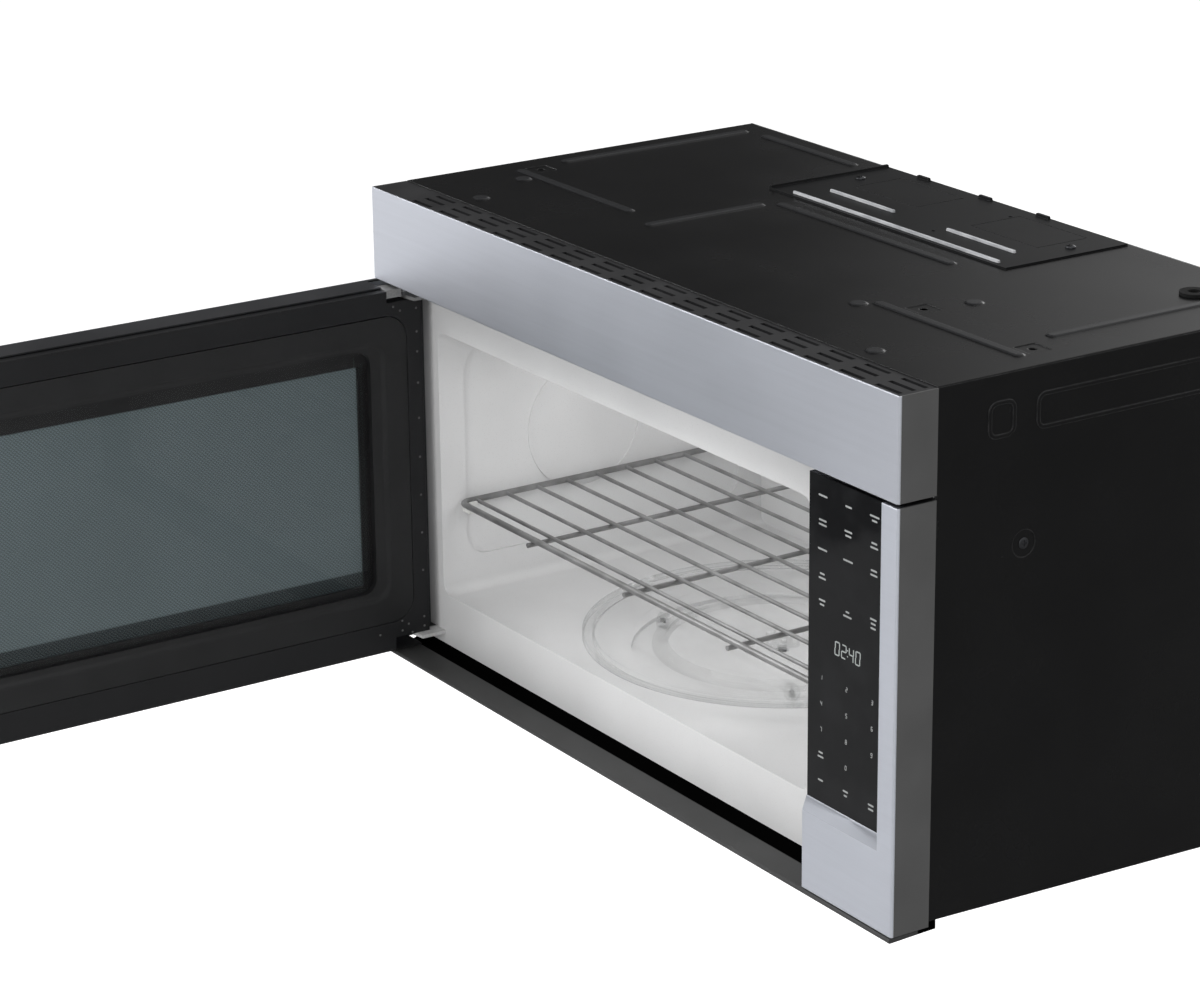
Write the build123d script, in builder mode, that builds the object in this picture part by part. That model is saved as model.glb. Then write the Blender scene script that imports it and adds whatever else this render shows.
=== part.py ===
from build123d import *
import math
import os

# Over the range microwave oven, hung under a wall cabinet, with its door standing open.
# +X runs to the viewer's right, +Y runs in to the wall, +Z is up.  The origin is the
# centre of the flat rear panel.  Lengths are millimetres.  Places are given the way they
# are read off the object: "from the left end", "from the front" and "below the top".

os.makedirs("parts", exist_ok=True)

# ---------------------------------------------------------------- overall body
width = 759.0
depth = 410.0
top_z = 220.0                # top of the fascia above the origin
case_sheet = 1.2
seat_gap = 0.3               # between pieces that lie close without touching
case_inset = 1.5             # case side inside the end of the trim
case_rise = 1.0              # case top above the top of the fascia
case_edge_round = 1.0
rear_sheet = 1.2
base_room = 45.65            # from the oven's floor down to the base, at the back of the trim
base_slope = 1.74            # degrees that the base falls towards the wall
base_sheet = 1.2
wall_slot_spacing = 520.0    # slots in the rear panel that hook on the wall plate
wall_slot_length = 44.0
wall_slot_height = 8.0
wall_slot_rise = 29.65       # above the base's front edge

# ---------------------------------------------------------------- trim on the front
trim_depth = 36.0            # how far the trim wraps back along the ends
trim_skin = 1.2
trim_corner_radius = 2.0
trim_wrap = 7.0              # depth of the control panel's frame
cap_front = 2.4              # front of the end caps, behind the rounded stainless corner
end_cap_thickness = 1.6
fascia_height = 82.5
fascia_gap = 3.5             # dark line between the fascia and what is below it
panel_width = 114.0
panel_bottom_gap = 1.3       # between the control panel and the trim below it
door_side_gap = 2.0          # between the door and the control panel
door_bottom_gap = 1.8        # between the door and the trim below it

# ---------------------------------------------------------------- vent grille on top
grille_thickness = 3.0
grille_front = 1.3
grille_corner_gap = 0.2
slot_length = 29.0
slot_width = 4.2
slot_pitch = 44.0
slot_first_right = 20.4      # last slot's centre from the right end
slot_left_margin = 70.0      # plain at the left end
slot_row_depths = (5.9, 18.2, 29.6)
charcoal_length = 330.0
charcoal_thickness = 22.0
charcoal_drop = 14.0

# ---------------------------------------------------------------- top of the case
rib_width = 11.0
rib_height = 1.4
rib_taper = 58
cover_rib_gap = 24.0         # from the nearest rib's middle back to the cover plate
side_row_reach = 95.0        # of the ribs beside the cover plate, in front of it
rear_row_from_wall = 22.5
dimple_radius = 8.0
dimple_height = 1.2
bolt_spacing = 685.0         # the two bolts up into the cabinet
bolt_depth = 154.0
bolt_hole_radius = 3.3       # also the bore of the nuts welded under it
bolt_pad_size = 21.0
bolt_pad_depth = 0.6
bolt_pad_corner = 2.0
spare_hole_from_right = 169.0
weld_nut_radius = 6.5
weld_nut_height = 5.0
side_mark_drop = 35.0        # pressed marks on each side
side_mark_height = 29.0
side_mark_short = (84.0, 110.0)
side_mark_long = (130.0, depth - 80.0)
side_mark_rise = 0.9
side_mark_radius = 8.0
side_mark_line = 3.0
side_screw = (121.0, 137.0)  # from the front, below the top
side_screw_well_radius = 11.0
side_screw_well_depth = 0.6
screw_head_radius = 4.5
screw_head_height = 2.4
side_screw_proud = 1.0

# ---------------------------------------------------------------- blower cover plate on top
# places on it are given from its own left and front edges
cover_left = 213.5
cover_width = 325.0
cover_depth = 129.0
cover_from_wall = 4.0
cover_thickness = 1.5
cover_overlap = 9.0
cover_rib_height = 2.2
cover_rib_width = 3.4
cover_ribs = ((29.5, 311.5, 5.0), (43.5, 134.5, 34.5), (205.5, 295.5, 34.5))
knockout_size = (88.0, 54.0)
knockout_from_front = 87.0   # to its middle
knockout_lefts = (41.5, 204.5)
knockout_groove = 1.2
knockout_groove_depth = 0.5
cover_rib_taper = 10
cover_screws = ((307.5, 82.7), (22.5, 82.7))
cover_tabs = (47.5, 133.5, 210.5)
cover_tab_width = 16.0
cover_holes = ((200.0, 24.8), (201.5, 106.0))
cover_hole_radius = 2.0

# ---------------------------------------------------------------- oven cavity
flange_depth = 41.0          # front of the cavity flange, from the front of the fascia
flange_side_gap = 3.0
cavity_sheet = 1.0
cavity_left = 39.0
cavity_panel_gap = 48.0      # between the oven's right wall and the control panel
cavity_top_drop = 130.0
cavity_height = 250.0
cavity_wall_gap = 15.0       # between the oven's back and the wall
cavity_corner_radius = 10.0
sill_rise = 3.0              # the opening's lower edge above the floor
track_depth = 3.5            # round recess that the rollers run in
track_gap = 9.1              # outside the rollers
wall_panel_inset = (26.0, 26.0)
wall_panel_below_top = 21.0  # below the oven's ceiling
wall_panel_above_floor = 32.0
wall_panel_radius = 22.0
wall_panel_depth = 2.0
wall_circle = (156.0, 114.0) # centre of the round mark: behind the flange, below the ceiling
wall_circle_radius = 62.0
wall_circle_line = 3.0
wall_circle_depth = 0.9
bay_margin = 8.0             # window in the flange behind the control panel

# ---------------------------------------------------------------- wire rack
rack_rise = 87.0             # centre of the rack's frame above the oven's floor
rack_side_gap = 4.5
rack_front_gap = 17.0
rack_back_gap = 12.0
frame_wire = 5.6
thin_wire = 3.6
cross_wire = 4.4
rack_corner_radius = 9.0
thin_wire_first = 16.0
thin_wire_pitch = 32.6
thin_wire_last = 8.0         # least room between the last one and the frame
cross_wire_spacing = 152.0
cross_wire_reach = 6.0
wire_weld = 0.6              # how far crossing wires sink into each other
support_shelf = (13.0, 8.0, 7.0)     # out from the wall, along it, high
support_lip = 2.6
support_lip_height = 4.0
rack_lift_gap = 0.3

# ---------------------------------------------------------------- turntable
tray_gap = 2.0               # between the tray and the oven's back
tray_lip_width = 9.0
tray_slope_width = 14.0
tray_thickness = 4.5
tray_lip_rise = 2.2
tray_lug_height = 3.0
roller_radius = 7.0
roller_width = 7.0
roller_bore = 2.0
roller_gap = 0.2
ring_band = 14.0             # the ring's width, from its bore out
ring_outer_radius = 114.0
ring_thickness = 3.0
ring_edge_height = 6.0
roller_count = 3
roller_first_angle = -32.0   # of the first roller, from the viewer's right
stub_clearance = 0.1
stub_root = 2.0              # how far each stub is rooted in the ring
stub_head_radius = 3.1
stub_head_length = 1.5
coupler_radius = 16.0
coupler_lobe = 6.5
coupler_height = 8.0
coupler_fit = 0.5
drive_shaft_radius = 4.0
shaft_running_gap = 0.08
shaft_hole_gap = 2.0         # round the shaft, in the oven's floor
turntable_motor_radius = 25.0
turntable_motor_height = 18.0
motor_ear_length = 12.0
motor_ear_width = 14.0
motor_ear_sheet = 1.5
drive_shaft_reach = 6.0      # below the oven's floor

# ---------------------------------------------------------------- door
door_open_angle = 90.0       # degrees open as it stands
door_depth = 39.0
door_corner_radius = 5.0
hinge_from_left = 14.4
hinge_from_front = 21.6
door_return = 30.0
door_window_margin = (52.0, 34.0)    # left, top and bottom
door_window_right = 92.0
door_glass_thickness = 3.6
door_glass_hold = 8.0        # glass past the edge of its opening
door_glass_corner = 4.0
inner_inset = 6.8            # inner panel inside the door's left and right edges
inner_top_inset = 2.0
inner_bottom_inset = 5.0     # clear of the trim that rises behind the closed door
inner_sheet = 1.2
notch_width = 41.9           # hinge corners cut out of the door's rear
upper_notch_height = 12.4
lower_notch_height = 15.9
choke_left = 22.2
choke_above_ceiling = 20.0
choke_below_floor = 18.0
choke_radius = 22.0
choke_gap = 0.8
choke_wall = 3.2
choke_back = 29.0            # front face of the choke cover, in from the door's front
lip_left = 59.5
lip_below_ceiling = 9.5
lip_above_floor = 13.5
lip_radius = 14.0
window_left = 69.5
window_below_ceiling = 24.0
window_above_floor = 19.7
window_radius = 2.0
window_sink = 5.5            # inner glass behind the door's rear face
inner_glass_thickness = 2.0
mesh_sheet = 0.8
mesh_overlap = 8.0           # past the edge of the window
dish_left = 43.5
dish_radius = 18.0
# the slope into the choke cover's lower middle: how far in, and how deep
dish_slope = ((0.0, 0.0), (2.0, 0.3), (5.0, 1.3), (7.0, 1.6))

# ---------------------------------------------------------------- door handle
handle_from_edge = 42.0
handle_from_top = 34.0
handle_from_bottom = 31.0
handle_radius = 8.5
handle_end_round = 2.5
handle_reach = 38.0          # centre of the bar in front of the door
handle_post_radius = 6.0
handle_post_inset = 30.0

# ---------------------------------------------------------------- hinges
tongue_thickness = 3.0
upper_tongue_below_door = 9.0        # below the door's top edge
tongue_rest_gap = 0.3        # the door's lower corner above the tongue that carries it
tongue_nose_radius = 9.0
tongue_notch_gap = 1.4       # between the tongue's right edge and the door's notch
tongue_corner_depth = 17.0   # of the tongue's front right corner
tongue_leg_height = 26.0
hinge_pin_radius = 3.0
hinge_pin_gap = 0.05
hinge_pin_head = 5.0
hinge_pin_head_height = 1.5
hinge_pin_reach = 5.0
bracket_size = (16.0, 18.0, 7.4)
bracket_from_front = 19.5

# ---------------------------------------------------------------- latch
latch_from_edge = 15.0
latch_bar_width = 5.0
latch_bar_depth = 4.0
latch_bar_from_front = 20.0
upper_hook_below_ceiling = 22.0
lower_hook_above_floor = 18.0
latch_hook_height = 9.0
latch_hook_reach = 18.0      # past the door's inner face
latch_hook_thickness = 3.0
latch_tip = 4.0
latch_travel = 3.0
latch_slot_gap = 1.2         # round the hooks, where they leave the door
latch_clearance = 2.4
latch_guide_from_ends = 58.0 # of the bar that joins the hooks
latch_guide_height = 12.0
latch_guide_wall = 2.5
spring_wire = 0.8
spring_radius = 4.0
spring_length = 24.0
spring_turns = 8
latch_housing_depth = 18.0
latch_housing_width = 26.0
latch_housing_margin = 26.0
switch_size = (12.0, 16.0, 10.0)   # across, deep, high
plunger_radius = 1.5
plunger_seat = 2.5           # plunger inside its switch at rest
plunger_gap = 0.1
plunger_travel = 1.5

# ---------------------------------------------------------------- control panel
glass_left_gap = 0.8
glass_width = 94.1
glass_top_gap = 1.6
panel_band_height = 65.5     # plain steel under the glass
panel_bevel_height = 11.6
glass_sink = 4.0
glass_thickness = 3.2
chassis_wall = 2.0
board_size = (78.0, 240.0, 1.6)
board_from_top = 10.0
board_standoff = 6.0
board_post_radius = 3.0
board_post_inset = 7.0
board_relay_size = (40.0, 34.0, 12.0)
board_relay_from_top = 202.0
display_from_top = 134.0
display_size = (52.0, 22.0)
display_from_left = 50.0
display_gap = 1.0

# ---------------------------------------------------------------- component bay
component_tray_rise = 11.0   # above the flange's lower edge
tray_sheet = 1.2
bay_gap = 0.5
waveguide_front = 130.0
waveguide_length = 140.0
waveguide_below_ceiling = 48.0
waveguide_height = 46.0
waveguide_width = 38.0
waveguide_sheet = 1.5
window_cover_sheet = 0.8
window_cover_margin = 12.0
magnetron_size = (84.0, 92.0, 74.0)
magnetron_yoke = 3.0
magnetron_core_radius = 20.0
magnetron_fin_count = 7
magnetron_fin = 0.9
antenna_radius = 9.0
antenna_gap = 0.3
antenna_length = 26.0
transformer_size = (92.0, 100.0, 78.0)
component_gap = 8.0
winding_size = (66.0, 52.0)  # across, high
winding_overhang = 16.0      # past each end of the core
winding_corner = 10.0
transformer_foot = (116.0, 80.0, 3.0)
capacitor_size = (36.0, 54.0, 92.0)
terminal_radius = 3.0
terminal_height = 9.0
terminal_spacing = 27.0
fan_radius = 52.0
fan_below_ceiling = 95.0
fan_from_panel = 56.8        # shroud in front of the rear panel
shroud_size = 124.0
shroud_sheet = 2.0
shroud_lip = 20.0
fan_tip_gap = 2.0
fan_hub_radius = 15.0
fan_blade_count = 5
fan_hub_length = 12.0
fan_blade_chord = 22.8
fan_blade_pitch = 25.0       # degrees off the plane of the fan
fan_blade_root = 1.0         # how far each blade is rooted in the hub
fan_blade_thickness = 1.8
fan_motor_size = (46.0, 24.0, 40.0)
fan_shaft_radius = 2.0
fan_arm_width = 8.0
fan_arm_sheet = 2.0

# ---------------------------------------------------------------- blower above the cavity
outlet_reach = 120.0         # from the wheel's axis to the outlet
scroll_radius = 55.0
scroll_width = 96.0
scroll_sheet = 1.5
scroll_spacing = 168.0
scroll_from_wall = 75.0
scroll_outlet_height = 48.0
scroll_inlet_radius = 33.0
blower_wheel_radius = 45.0
blower_wheel_length = 84.0
blower_blade_count = 20
blower_blade = 1.2
blower_blade_depth = 9.0
blower_shaft_radius = 4.0
blower_motor_radius = 36.0
blower_motor_length = 58.0
blower_base_sheet = 2.0
scroll_foot_length = 60.0
blower_hub_radius = 8.0
blower_hub_length = 16.0
blower_blade_angle = 35.0
blower_motor_foot = (40.0, 36.0)

# ---------------------------------------------------------------- base
filter_length = 250.0
filter_width = 150.0
filter_thickness = 8.0
filter_frame = 12.0
filter_core_sink = 2.0
filter_lip = 7.0             # how far the filter overlaps its opening
filter_spacing = 400.0
filter_front = 150.0         # along the base from the back of the trim
filter_rest_gap = 0.3
filter_corner_radius = 4.0
lens_length = 90.0
lens_width = 40.0
lens_thickness = 3.0
lens_corner_radius = 6.0
lens_overlap = 5.0           # past the edge of its opening
lens_bay_gap = 18.5          # from the right lens's middle to the bay
lens_front = 52.0
lamp_radius = 12.0
lamp_length = 10.0           # of the lamp's head
lamp_base_radius = 8.0
lamp_base_length = 10.0
lamp_taper = 20
lip_front = -1.0             # foremost point of the trim under the door
lip_step_depth = 27.0
lip_back_depth = 44.0
lip_rise_depth = 40.0
# its levels below the front edge of the base
lip_top_below = 5.15
lip_rise_below = 0.35
lip_front_below = 8.95
lip_back_below = 7.75
lip_nose_radius = 1.2

# ---------------------------------------------------------------- supply cord bushing
grommet_from_right = 79.0
grommet_from_wall = 58.0
grommet_hole_radius = 9.0
grommet_bore = 5.0
grommet_flange_radius = 12.0
grommet_flange = 2.5
grommet_groove = 0.2

# ================================================================ worked-out places
left_x = -width / 2
front_y = -depth
case_left = case_inset
case_right = width - case_inset
case_top = case_rise                       # above the reference top
rear_face = depth - rear_sheet             # front of the rear panel
panel_left = width - panel_width

# the oven and its turntable
cavity_right = panel_left - cavity_panel_gap
floor_drop = cavity_top_drop + cavity_height
opening_bottom_drop = floor_drop - sill_rise
cavity_front = flange_depth + cavity_sheet
cavity_back = depth - cavity_wall_gap
table_x = (cavity_left + cavity_right) / 2
table_y = (flange_depth + cavity_back) / 2
tray_radius = cavity_back - table_y - tray_gap
track_drop = floor_drop + track_depth
wheel_drop = track_drop - roller_gap - roller_radius
tray_under_drop = wheel_drop - roller_radius - roller_gap
stub_radius = roller_bore - stub_clearance
stub_length = 2 * roller_gap + roller_width + stub_head_length
track_radius = ring_outer_radius + stub_length + track_gap
ring_inner_radius = ring_outer_radius - ring_band
rack_drop = floor_drop - rack_rise
wall_panel_top_drop = cavity_top_drop + wall_panel_below_top
wall_panel_bottom_drop = floor_drop - wall_panel_above_floor

# the base and the trim along its front edge
base_drop = floor_drop + base_room
lip_top_drop = base_drop + lip_top_below
lip_rise_drop = base_drop + lip_rise_below
flange_bottom_drop = lip_rise_drop         # the flange stands on this trim
panel_bottom_drop = lip_top_drop - panel_bottom_gap

# the door
door_width = panel_left - door_side_gap
door_top_drop = fascia_height + fascia_gap
door_bottom_drop = lip_top_drop - door_bottom_gap
notch_top = door_top_drop + upper_notch_height
notch_bottom = door_bottom_drop - lower_notch_height
upper_tongue_drop = door_top_drop + upper_tongue_below_door
lower_tongue_drop = notch_bottom + tongue_rest_gap
tongue_right = notch_width - tongue_notch_gap
choke_top_drop = cavity_top_drop - choke_above_ceiling
choke_bottom_drop = floor_drop + choke_below_floor
well_top_drop = cavity_top_drop + lip_below_ceiling
well_bottom_drop = floor_drop - lip_above_floor
window_top_drop = cavity_top_drop + window_below_ceiling
window_bottom_drop = floor_drop - window_above_floor
handle_top_drop = door_top_drop + handle_from_top
handle_bottom_drop = door_bottom_drop - handle_from_bottom
hook_across = door_width - latch_from_edge
latch_hook_drops = (
    cavity_top_drop + upper_hook_below_ceiling,
    floor_drop - lower_hook_above_floor,
)

# the control panel and the bay behind it
bevel_bottom_drop = panel_bottom_drop - panel_band_height
glass_bottom_drop = bevel_bottom_drop - panel_bevel_height
display_drop = door_top_drop + display_from_top
board_drop = door_top_drop + board_from_top
board_relay_drop = door_top_drop + board_relay_from_top
bay_left = cavity_right + cavity_sheet
bay_right = case_right - case_sheet
bay_middle = (bay_left + bay_right) / 2
housing_back = cavity_front + latch_housing_depth
tray_drop = flange_bottom_drop - component_tray_rise
waveguide_back = waveguide_front + waveguide_length
waveguide_top_drop = cavity_top_drop + waveguide_below_ceiling
transformer_front = housing_back + switch_size[1] + component_gap + winding_overhang
capacitor_front = transformer_front + transformer_size[1] + winding_overhang + component_gap
fan_drop = cavity_top_drop + fan_below_ceiling
fan_front = rear_face - fan_from_panel

# the blower and its cover plate
scroll_from_front = depth - scroll_from_wall
blower_front = scroll_from_front - outlet_reach
cover_back = depth - cover_from_wall
cover_front = cover_back - cover_depth
grommet_spot = (width - grommet_from_right, depth - grommet_from_wall)

# what is pressed in the top, in front of the cover plate and beside it: (from left, from front)
row_depth = cover_front - cover_rib_gap
side_row_front = cover_front - side_row_reach
rear_row_depth = depth - rear_row_from_wall
top_ribs = (
    ((29.0, 135.0), (211.0, 135.0)),
    ((width - 205.0, 134.0), (width - 24.0, 134.0)),
    ((255.0, 118.0), (255.0, row_depth - rib_width)),
    ((261.0, row_depth), (503.0, row_depth)),
    ((26.0, side_row_front), (26.0, rear_row_depth)),
    ((width - 54.0, side_row_front), (width - 54.0, rear_row_depth)),
    ((50.0, rear_row_depth), (192.0, rear_row_depth)),
)
top_dimples = (
    (width - 209.5, 121.0),
    (width - 159.0, side_row_front + 14.0),
    (width - 99.5, 53.5),
    (95.0, 55.0),
    (59.0, 121.0),
)


def base_level(back):
    """Drop of the base's underside below the top, at a distance from the front."""
    return base_drop + (back - trim_depth) * math.tan(math.radians(base_slope))


# ================================================================ planes and shapes
def front_plane(back=0.0):
    """x from the left end, y down from the top, normal in towards the wall."""
    return Plane(origin=(left_x, front_y + back, top_z), x_dir=(1, 0, 0), z_dir=(0, 1, 0))


def level_plane(drop=0.0):
    """x from the left end, y from the front, normal up."""
    return Plane(origin=(left_x, front_y, top_z - drop), x_dir=(1, 0, 0), z_dir=(0, 0, 1))


def cross_plane(across=0.0):
    """x from the front, y up from the top (so drops are negative), normal right."""
    return Plane(origin=(left_x + across, front_y, top_z), x_dir=(0, 1, 0), z_dir=(1, 0, 0))


def base_plane(rise=0.0):
    """x from the left end, y along the sloping base from the back of the trim."""
    slope = math.radians(base_slope)
    normal = Vector(0, math.sin(slope), math.cos(slope))
    start = Vector(left_x, front_y + trim_depth, top_z - base_drop)
    return Plane(origin=start + normal * rise, x_dir=(1, 0, 0), z_dir=normal)


def door_plane(back=0.0):
    """front_plane, turned about the hinge with the open door."""
    turn = math.radians(door_open_angle)
    along = Vector(math.cos(turn), -math.sin(turn), 0)
    inward = Vector(math.sin(turn), math.cos(turn), 0)
    pivot = Vector(left_x + hinge_from_left, front_y + hinge_from_front, top_z)
    start = pivot - along * hinge_from_left + inward * (back - hinge_from_front)
    return Plane(origin=start, x_dir=along, z_dir=inward)


def door_level_plane(drop):
    """level_plane, turned about the hinge with the open door."""
    face = door_plane()
    return Plane(origin=face.origin - Vector(0, 0, drop), x_dir=face.x_dir, z_dir=(0, 0, 1))


def door_cross_plane(across):
    """x in from the door's front, y up from the top, normal to the door's free edge."""
    face = door_plane()
    start = face.origin + face.x_dir * across
    return Plane(origin=start, x_dir=face.z_dir, z_dir=face.x_dir)


def table_plane():
    """x out from the turntable's axis, y up from the round track."""
    start = (left_x + table_x, front_y + table_y, top_z - track_drop)
    return Plane(origin=start, x_dir=(1, 0, 0), z_dir=(0, -1, 0))


def between(x_first, x_last, y_first, y_last, mode=Mode.ADD):
    """A rectangle between two limits each way."""
    with Locations(((x_first + x_last) / 2, (y_first + y_last) / 2)):
        Rectangle(abs(x_last - x_first), abs(y_last - y_first), mode=mode)


def rounded_between(x_first, x_last, y_first, y_last, radius, mode=Mode.ADD):
    """A rectangle between two limits each way, with round corners."""
    with Locations(((x_first + x_last) / 2, (y_first + y_last) / 2)):
        RectangleRounded(abs(x_last - x_first), abs(y_last - y_first), radius, mode=mode)


def outline(*points):
    """A closed straight-sided face through the points."""
    Polygon(*points, align=None)


def disc(x, y, radius, mode=Mode.ADD):
    """A round face at a place."""
    with Locations((x, y)):
        Circle(radius, mode=mode)


def save(piece, name):
    """Label a finished piece and write its file."""
    piece.part.label = name
    export_step(piece.part, "parts/" + name + ".step")


# ================================================================ case
bolt_lefts = (width / 2 - bolt_spacing / 2, width / 2 + bolt_spacing / 2)
pad_lefts = (*bolt_lefts, width - spare_hole_from_right)
with BuildPart() as case_top_panel:
    with BuildSketch(level_plane(case_sheet - case_top)):
        between(case_left, case_right, trim_depth, rear_face)
    extrude(amount=case_sheet)
    fillet(edges().group_by(Axis.Z)[-1].filter_by(Axis.Y), case_edge_round)
    for rib_start, rib_end in top_ribs:
        run = Vector(*rib_end) - Vector(*rib_start)
        heading = math.degrees(math.atan2(run.Y, run.X))
        with BuildSketch(level_plane(-case_top)):
            with Locations(Location((Vector(*rib_start) + Vector(*rib_end)) * 0.5, heading)):
                SlotOverall(run.length, rib_width)
        extrude(amount=rib_height, taper=rib_taper)
    with BuildSketch(level_plane(-case_top)):
        for spot in top_dimples:
            disc(*spot, dimple_radius)
    extrude(amount=dimple_height, taper=rib_taper)
    # nuts welded underneath for the bolts
    with BuildSketch(level_plane(case_sheet - case_top)):
        for across in bolt_lefts:
            with Locations((across, bolt_depth)):
                RegularPolygon(weld_nut_radius, 6)
    extrude(amount=-weld_nut_height)
    with BuildSketch(level_plane(-case_top)):
        for across in pad_lefts:
            with Locations((across, bolt_depth)):
                RectangleRounded(bolt_pad_size, bolt_pad_size, bolt_pad_corner)
    extrude(amount=-bolt_pad_depth, mode=Mode.SUBTRACT)
    with BuildSketch(level_plane(-case_top)):
        for across in pad_lefts:
            disc(across, bolt_depth, bolt_hole_radius)
        disc(*grommet_spot, grommet_hole_radius)
        between(
            cover_left + cover_overlap,
            cover_left + cover_width - cover_overlap,
            cover_front + cover_overlap,
            cover_back - cover_overlap,
        )
    extrude(amount=-case_sheet - weld_nut_height, mode=Mode.SUBTRACT)
save(case_top_panel, "case_top_panel")

for name, side_x, outward in (
    ("case_left_panel", case_left, -1),
    ("case_right_panel", case_right, 1),
):
    with BuildPart() as side_panel:
        with BuildSketch(cross_plane(side_x)):
            outline(
                (trim_depth, case_top - case_sheet),
                (rear_face, case_top - case_sheet),
                (rear_face, -base_level(rear_face)),
                (trim_depth, -base_drop),
            )
        extrude(amount=-outward * case_sheet)
        # the left side stands back where the door's corner swings past it
        with BuildSketch(front_plane(trim_depth)):
            between(0, flange_side_gap, fascia_height, base_level(depth))
        extrude(amount=cavity_front - trim_depth, mode=Mode.SUBTRACT)
        # pressed marks and the screw's well
        with BuildSketch(cross_plane(side_x)):
            for mark_front, mark_back in (side_mark_short, side_mark_long):
                mark_top = -side_mark_drop + side_mark_height / 2
                mark_bottom = mark_top - side_mark_height
                rounded_between(mark_front, mark_back, mark_top, mark_bottom, side_mark_radius)
                rounded_between(
                    mark_front + side_mark_line,
                    mark_back - side_mark_line,
                    mark_top - side_mark_line,
                    mark_bottom + side_mark_line,
                    side_mark_radius - side_mark_line,
                    mode=Mode.SUBTRACT,
                )
        extrude(amount=outward * side_mark_rise)
        with BuildSketch(cross_plane(side_x)):
            disc(side_screw[0], -side_screw[1], side_screw_well_radius)
        extrude(amount=-outward * side_screw_well_depth, mode=Mode.SUBTRACT)
    save(side_panel, name)

with BuildPart() as rear_panel:
    with BuildSketch(front_plane(rear_face)):
        between(case_left, case_right, -case_top, base_level(rear_face))
        for across in (width / 2 - wall_slot_spacing / 2, width / 2 + wall_slot_spacing / 2):
            with Locations((across, base_drop - wall_slot_rise)):
                Rectangle(wall_slot_length, wall_slot_height, mode=Mode.SUBTRACT)
    extrude(amount=rear_sheet)
save(rear_panel, "rear_panel")

# ---------------------------------------------------------------- base
slope_angle = math.radians(base_slope)
base_length = (rear_face - trim_depth) / math.cos(slope_angle) - base_sheet * math.tan(slope_angle)
filter_lefts = (width / 2 - filter_spacing / 2, width / 2 + filter_spacing / 2)
lens_lefts = (width - bay_left + lens_bay_gap, bay_left - lens_bay_gap)
filter_middle = filter_front + filter_width / 2
lens_middle = lens_front + lens_width / 2
base_start = lip_back_depth - trim_depth + seat_gap

with BuildPart() as base_pan:
    with BuildSketch(base_plane()):
        between(case_left + case_sheet, case_right - case_sheet, base_start, base_length)
        for across in filter_lefts:
            with Locations((across, filter_middle)):
                Rectangle(
                    filter_length - 2 * filter_lip, filter_width - 2 * filter_lip, mode=Mode.SUBTRACT
                )
        for across in lens_lefts:
            with Locations((across, lens_middle)):
                RectangleRounded(lens_length, lens_width, lens_corner_radius, mode=Mode.SUBTRACT)
    extrude(amount=base_sheet)
    # upturned edges that the filters slide between
    guide_height = filter_rest_gap + filter_thickness
    with BuildSketch(base_plane(base_sheet)):
        for across in filter_lefts:
            for edge in (
                filter_front - base_sheet - filter_rest_gap,
                filter_front + filter_width + filter_rest_gap,
            ):
                between(across - filter_length / 2, across + filter_length / 2, edge, edge + base_sheet)
    extrude(amount=guide_height)
save(base_pan, "base_pan")

for name, across in zip(("grease_filter_left", "grease_filter_right"), filter_lefts):
    with BuildPart() as grease_filter:
        with BuildSketch(base_plane(base_sheet + filter_rest_gap)):
            with Locations((across, filter_middle)):
                RectangleRounded(filter_length, filter_width, filter_corner_radius)
        extrude(amount=filter_thickness)
        for face_rise, inward in ((0, 1), (filter_thickness, -1)):
            with BuildSketch(base_plane(base_sheet + filter_rest_gap + face_rise)):
                with Locations((across, filter_middle)):
                    Rectangle(filter_length - 2 * filter_frame, filter_width - 2 * filter_frame)
            extrude(amount=inward * filter_core_sink, mode=Mode.SUBTRACT)
    save(grease_filter, name)

with BuildPart() as lamp_lenses:
    with BuildSketch(base_plane(base_sheet)):
        for across in lens_lefts:
            with Locations((across, lens_middle)):
                RectangleRounded(
                    lens_length + 2 * lens_overlap, lens_width + 2 * lens_overlap,
                    lens_corner_radius,
                )
    extrude(amount=lens_thickness)
save(lamp_lenses, "cooktop_lamp_lenses")

with BuildPart() as cooktop_lamps:
    for across in lens_lefts:
        with BuildSketch(base_plane(base_sheet + lens_thickness)):
            disc(across, lens_middle, lamp_base_radius)
        extrude(amount=lamp_base_length)
        with BuildSketch(base_plane(base_sheet + lens_thickness + lamp_base_length)):
            disc(across, lens_middle, lamp_radius)
        extrude(amount=lamp_length, taper=lamp_taper)
save(cooktop_lamps, "cooktop_lamps")

with BuildPart() as base_front_trim:
    with BuildSketch(cross_plane(end_cap_thickness)):
        outline(
            (lip_front, -lip_top_drop - lip_nose_radius),
            (0, -lip_top_drop),
            (lip_step_depth, -lip_top_drop),
            (lip_rise_depth, -lip_rise_drop),
            (lip_back_depth, -lip_rise_drop),
            (lip_back_depth, -base_drop - lip_back_below),
            (0, -base_drop - lip_front_below),
            (lip_front, -base_drop - lip_front_below + lip_nose_radius),
        )
    extrude(amount=width - 2 * end_cap_thickness)
    # no rise at the left end, where the wide-open door's corner swings past
    with BuildSketch(level_plane(lip_top_drop)):
        between(0, flange_side_gap, lip_step_depth, lip_back_depth)
    extrude(amount=lip_top_drop - lip_rise_drop, mode=Mode.SUBTRACT)
save(base_front_trim, "base_front_trim")

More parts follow.
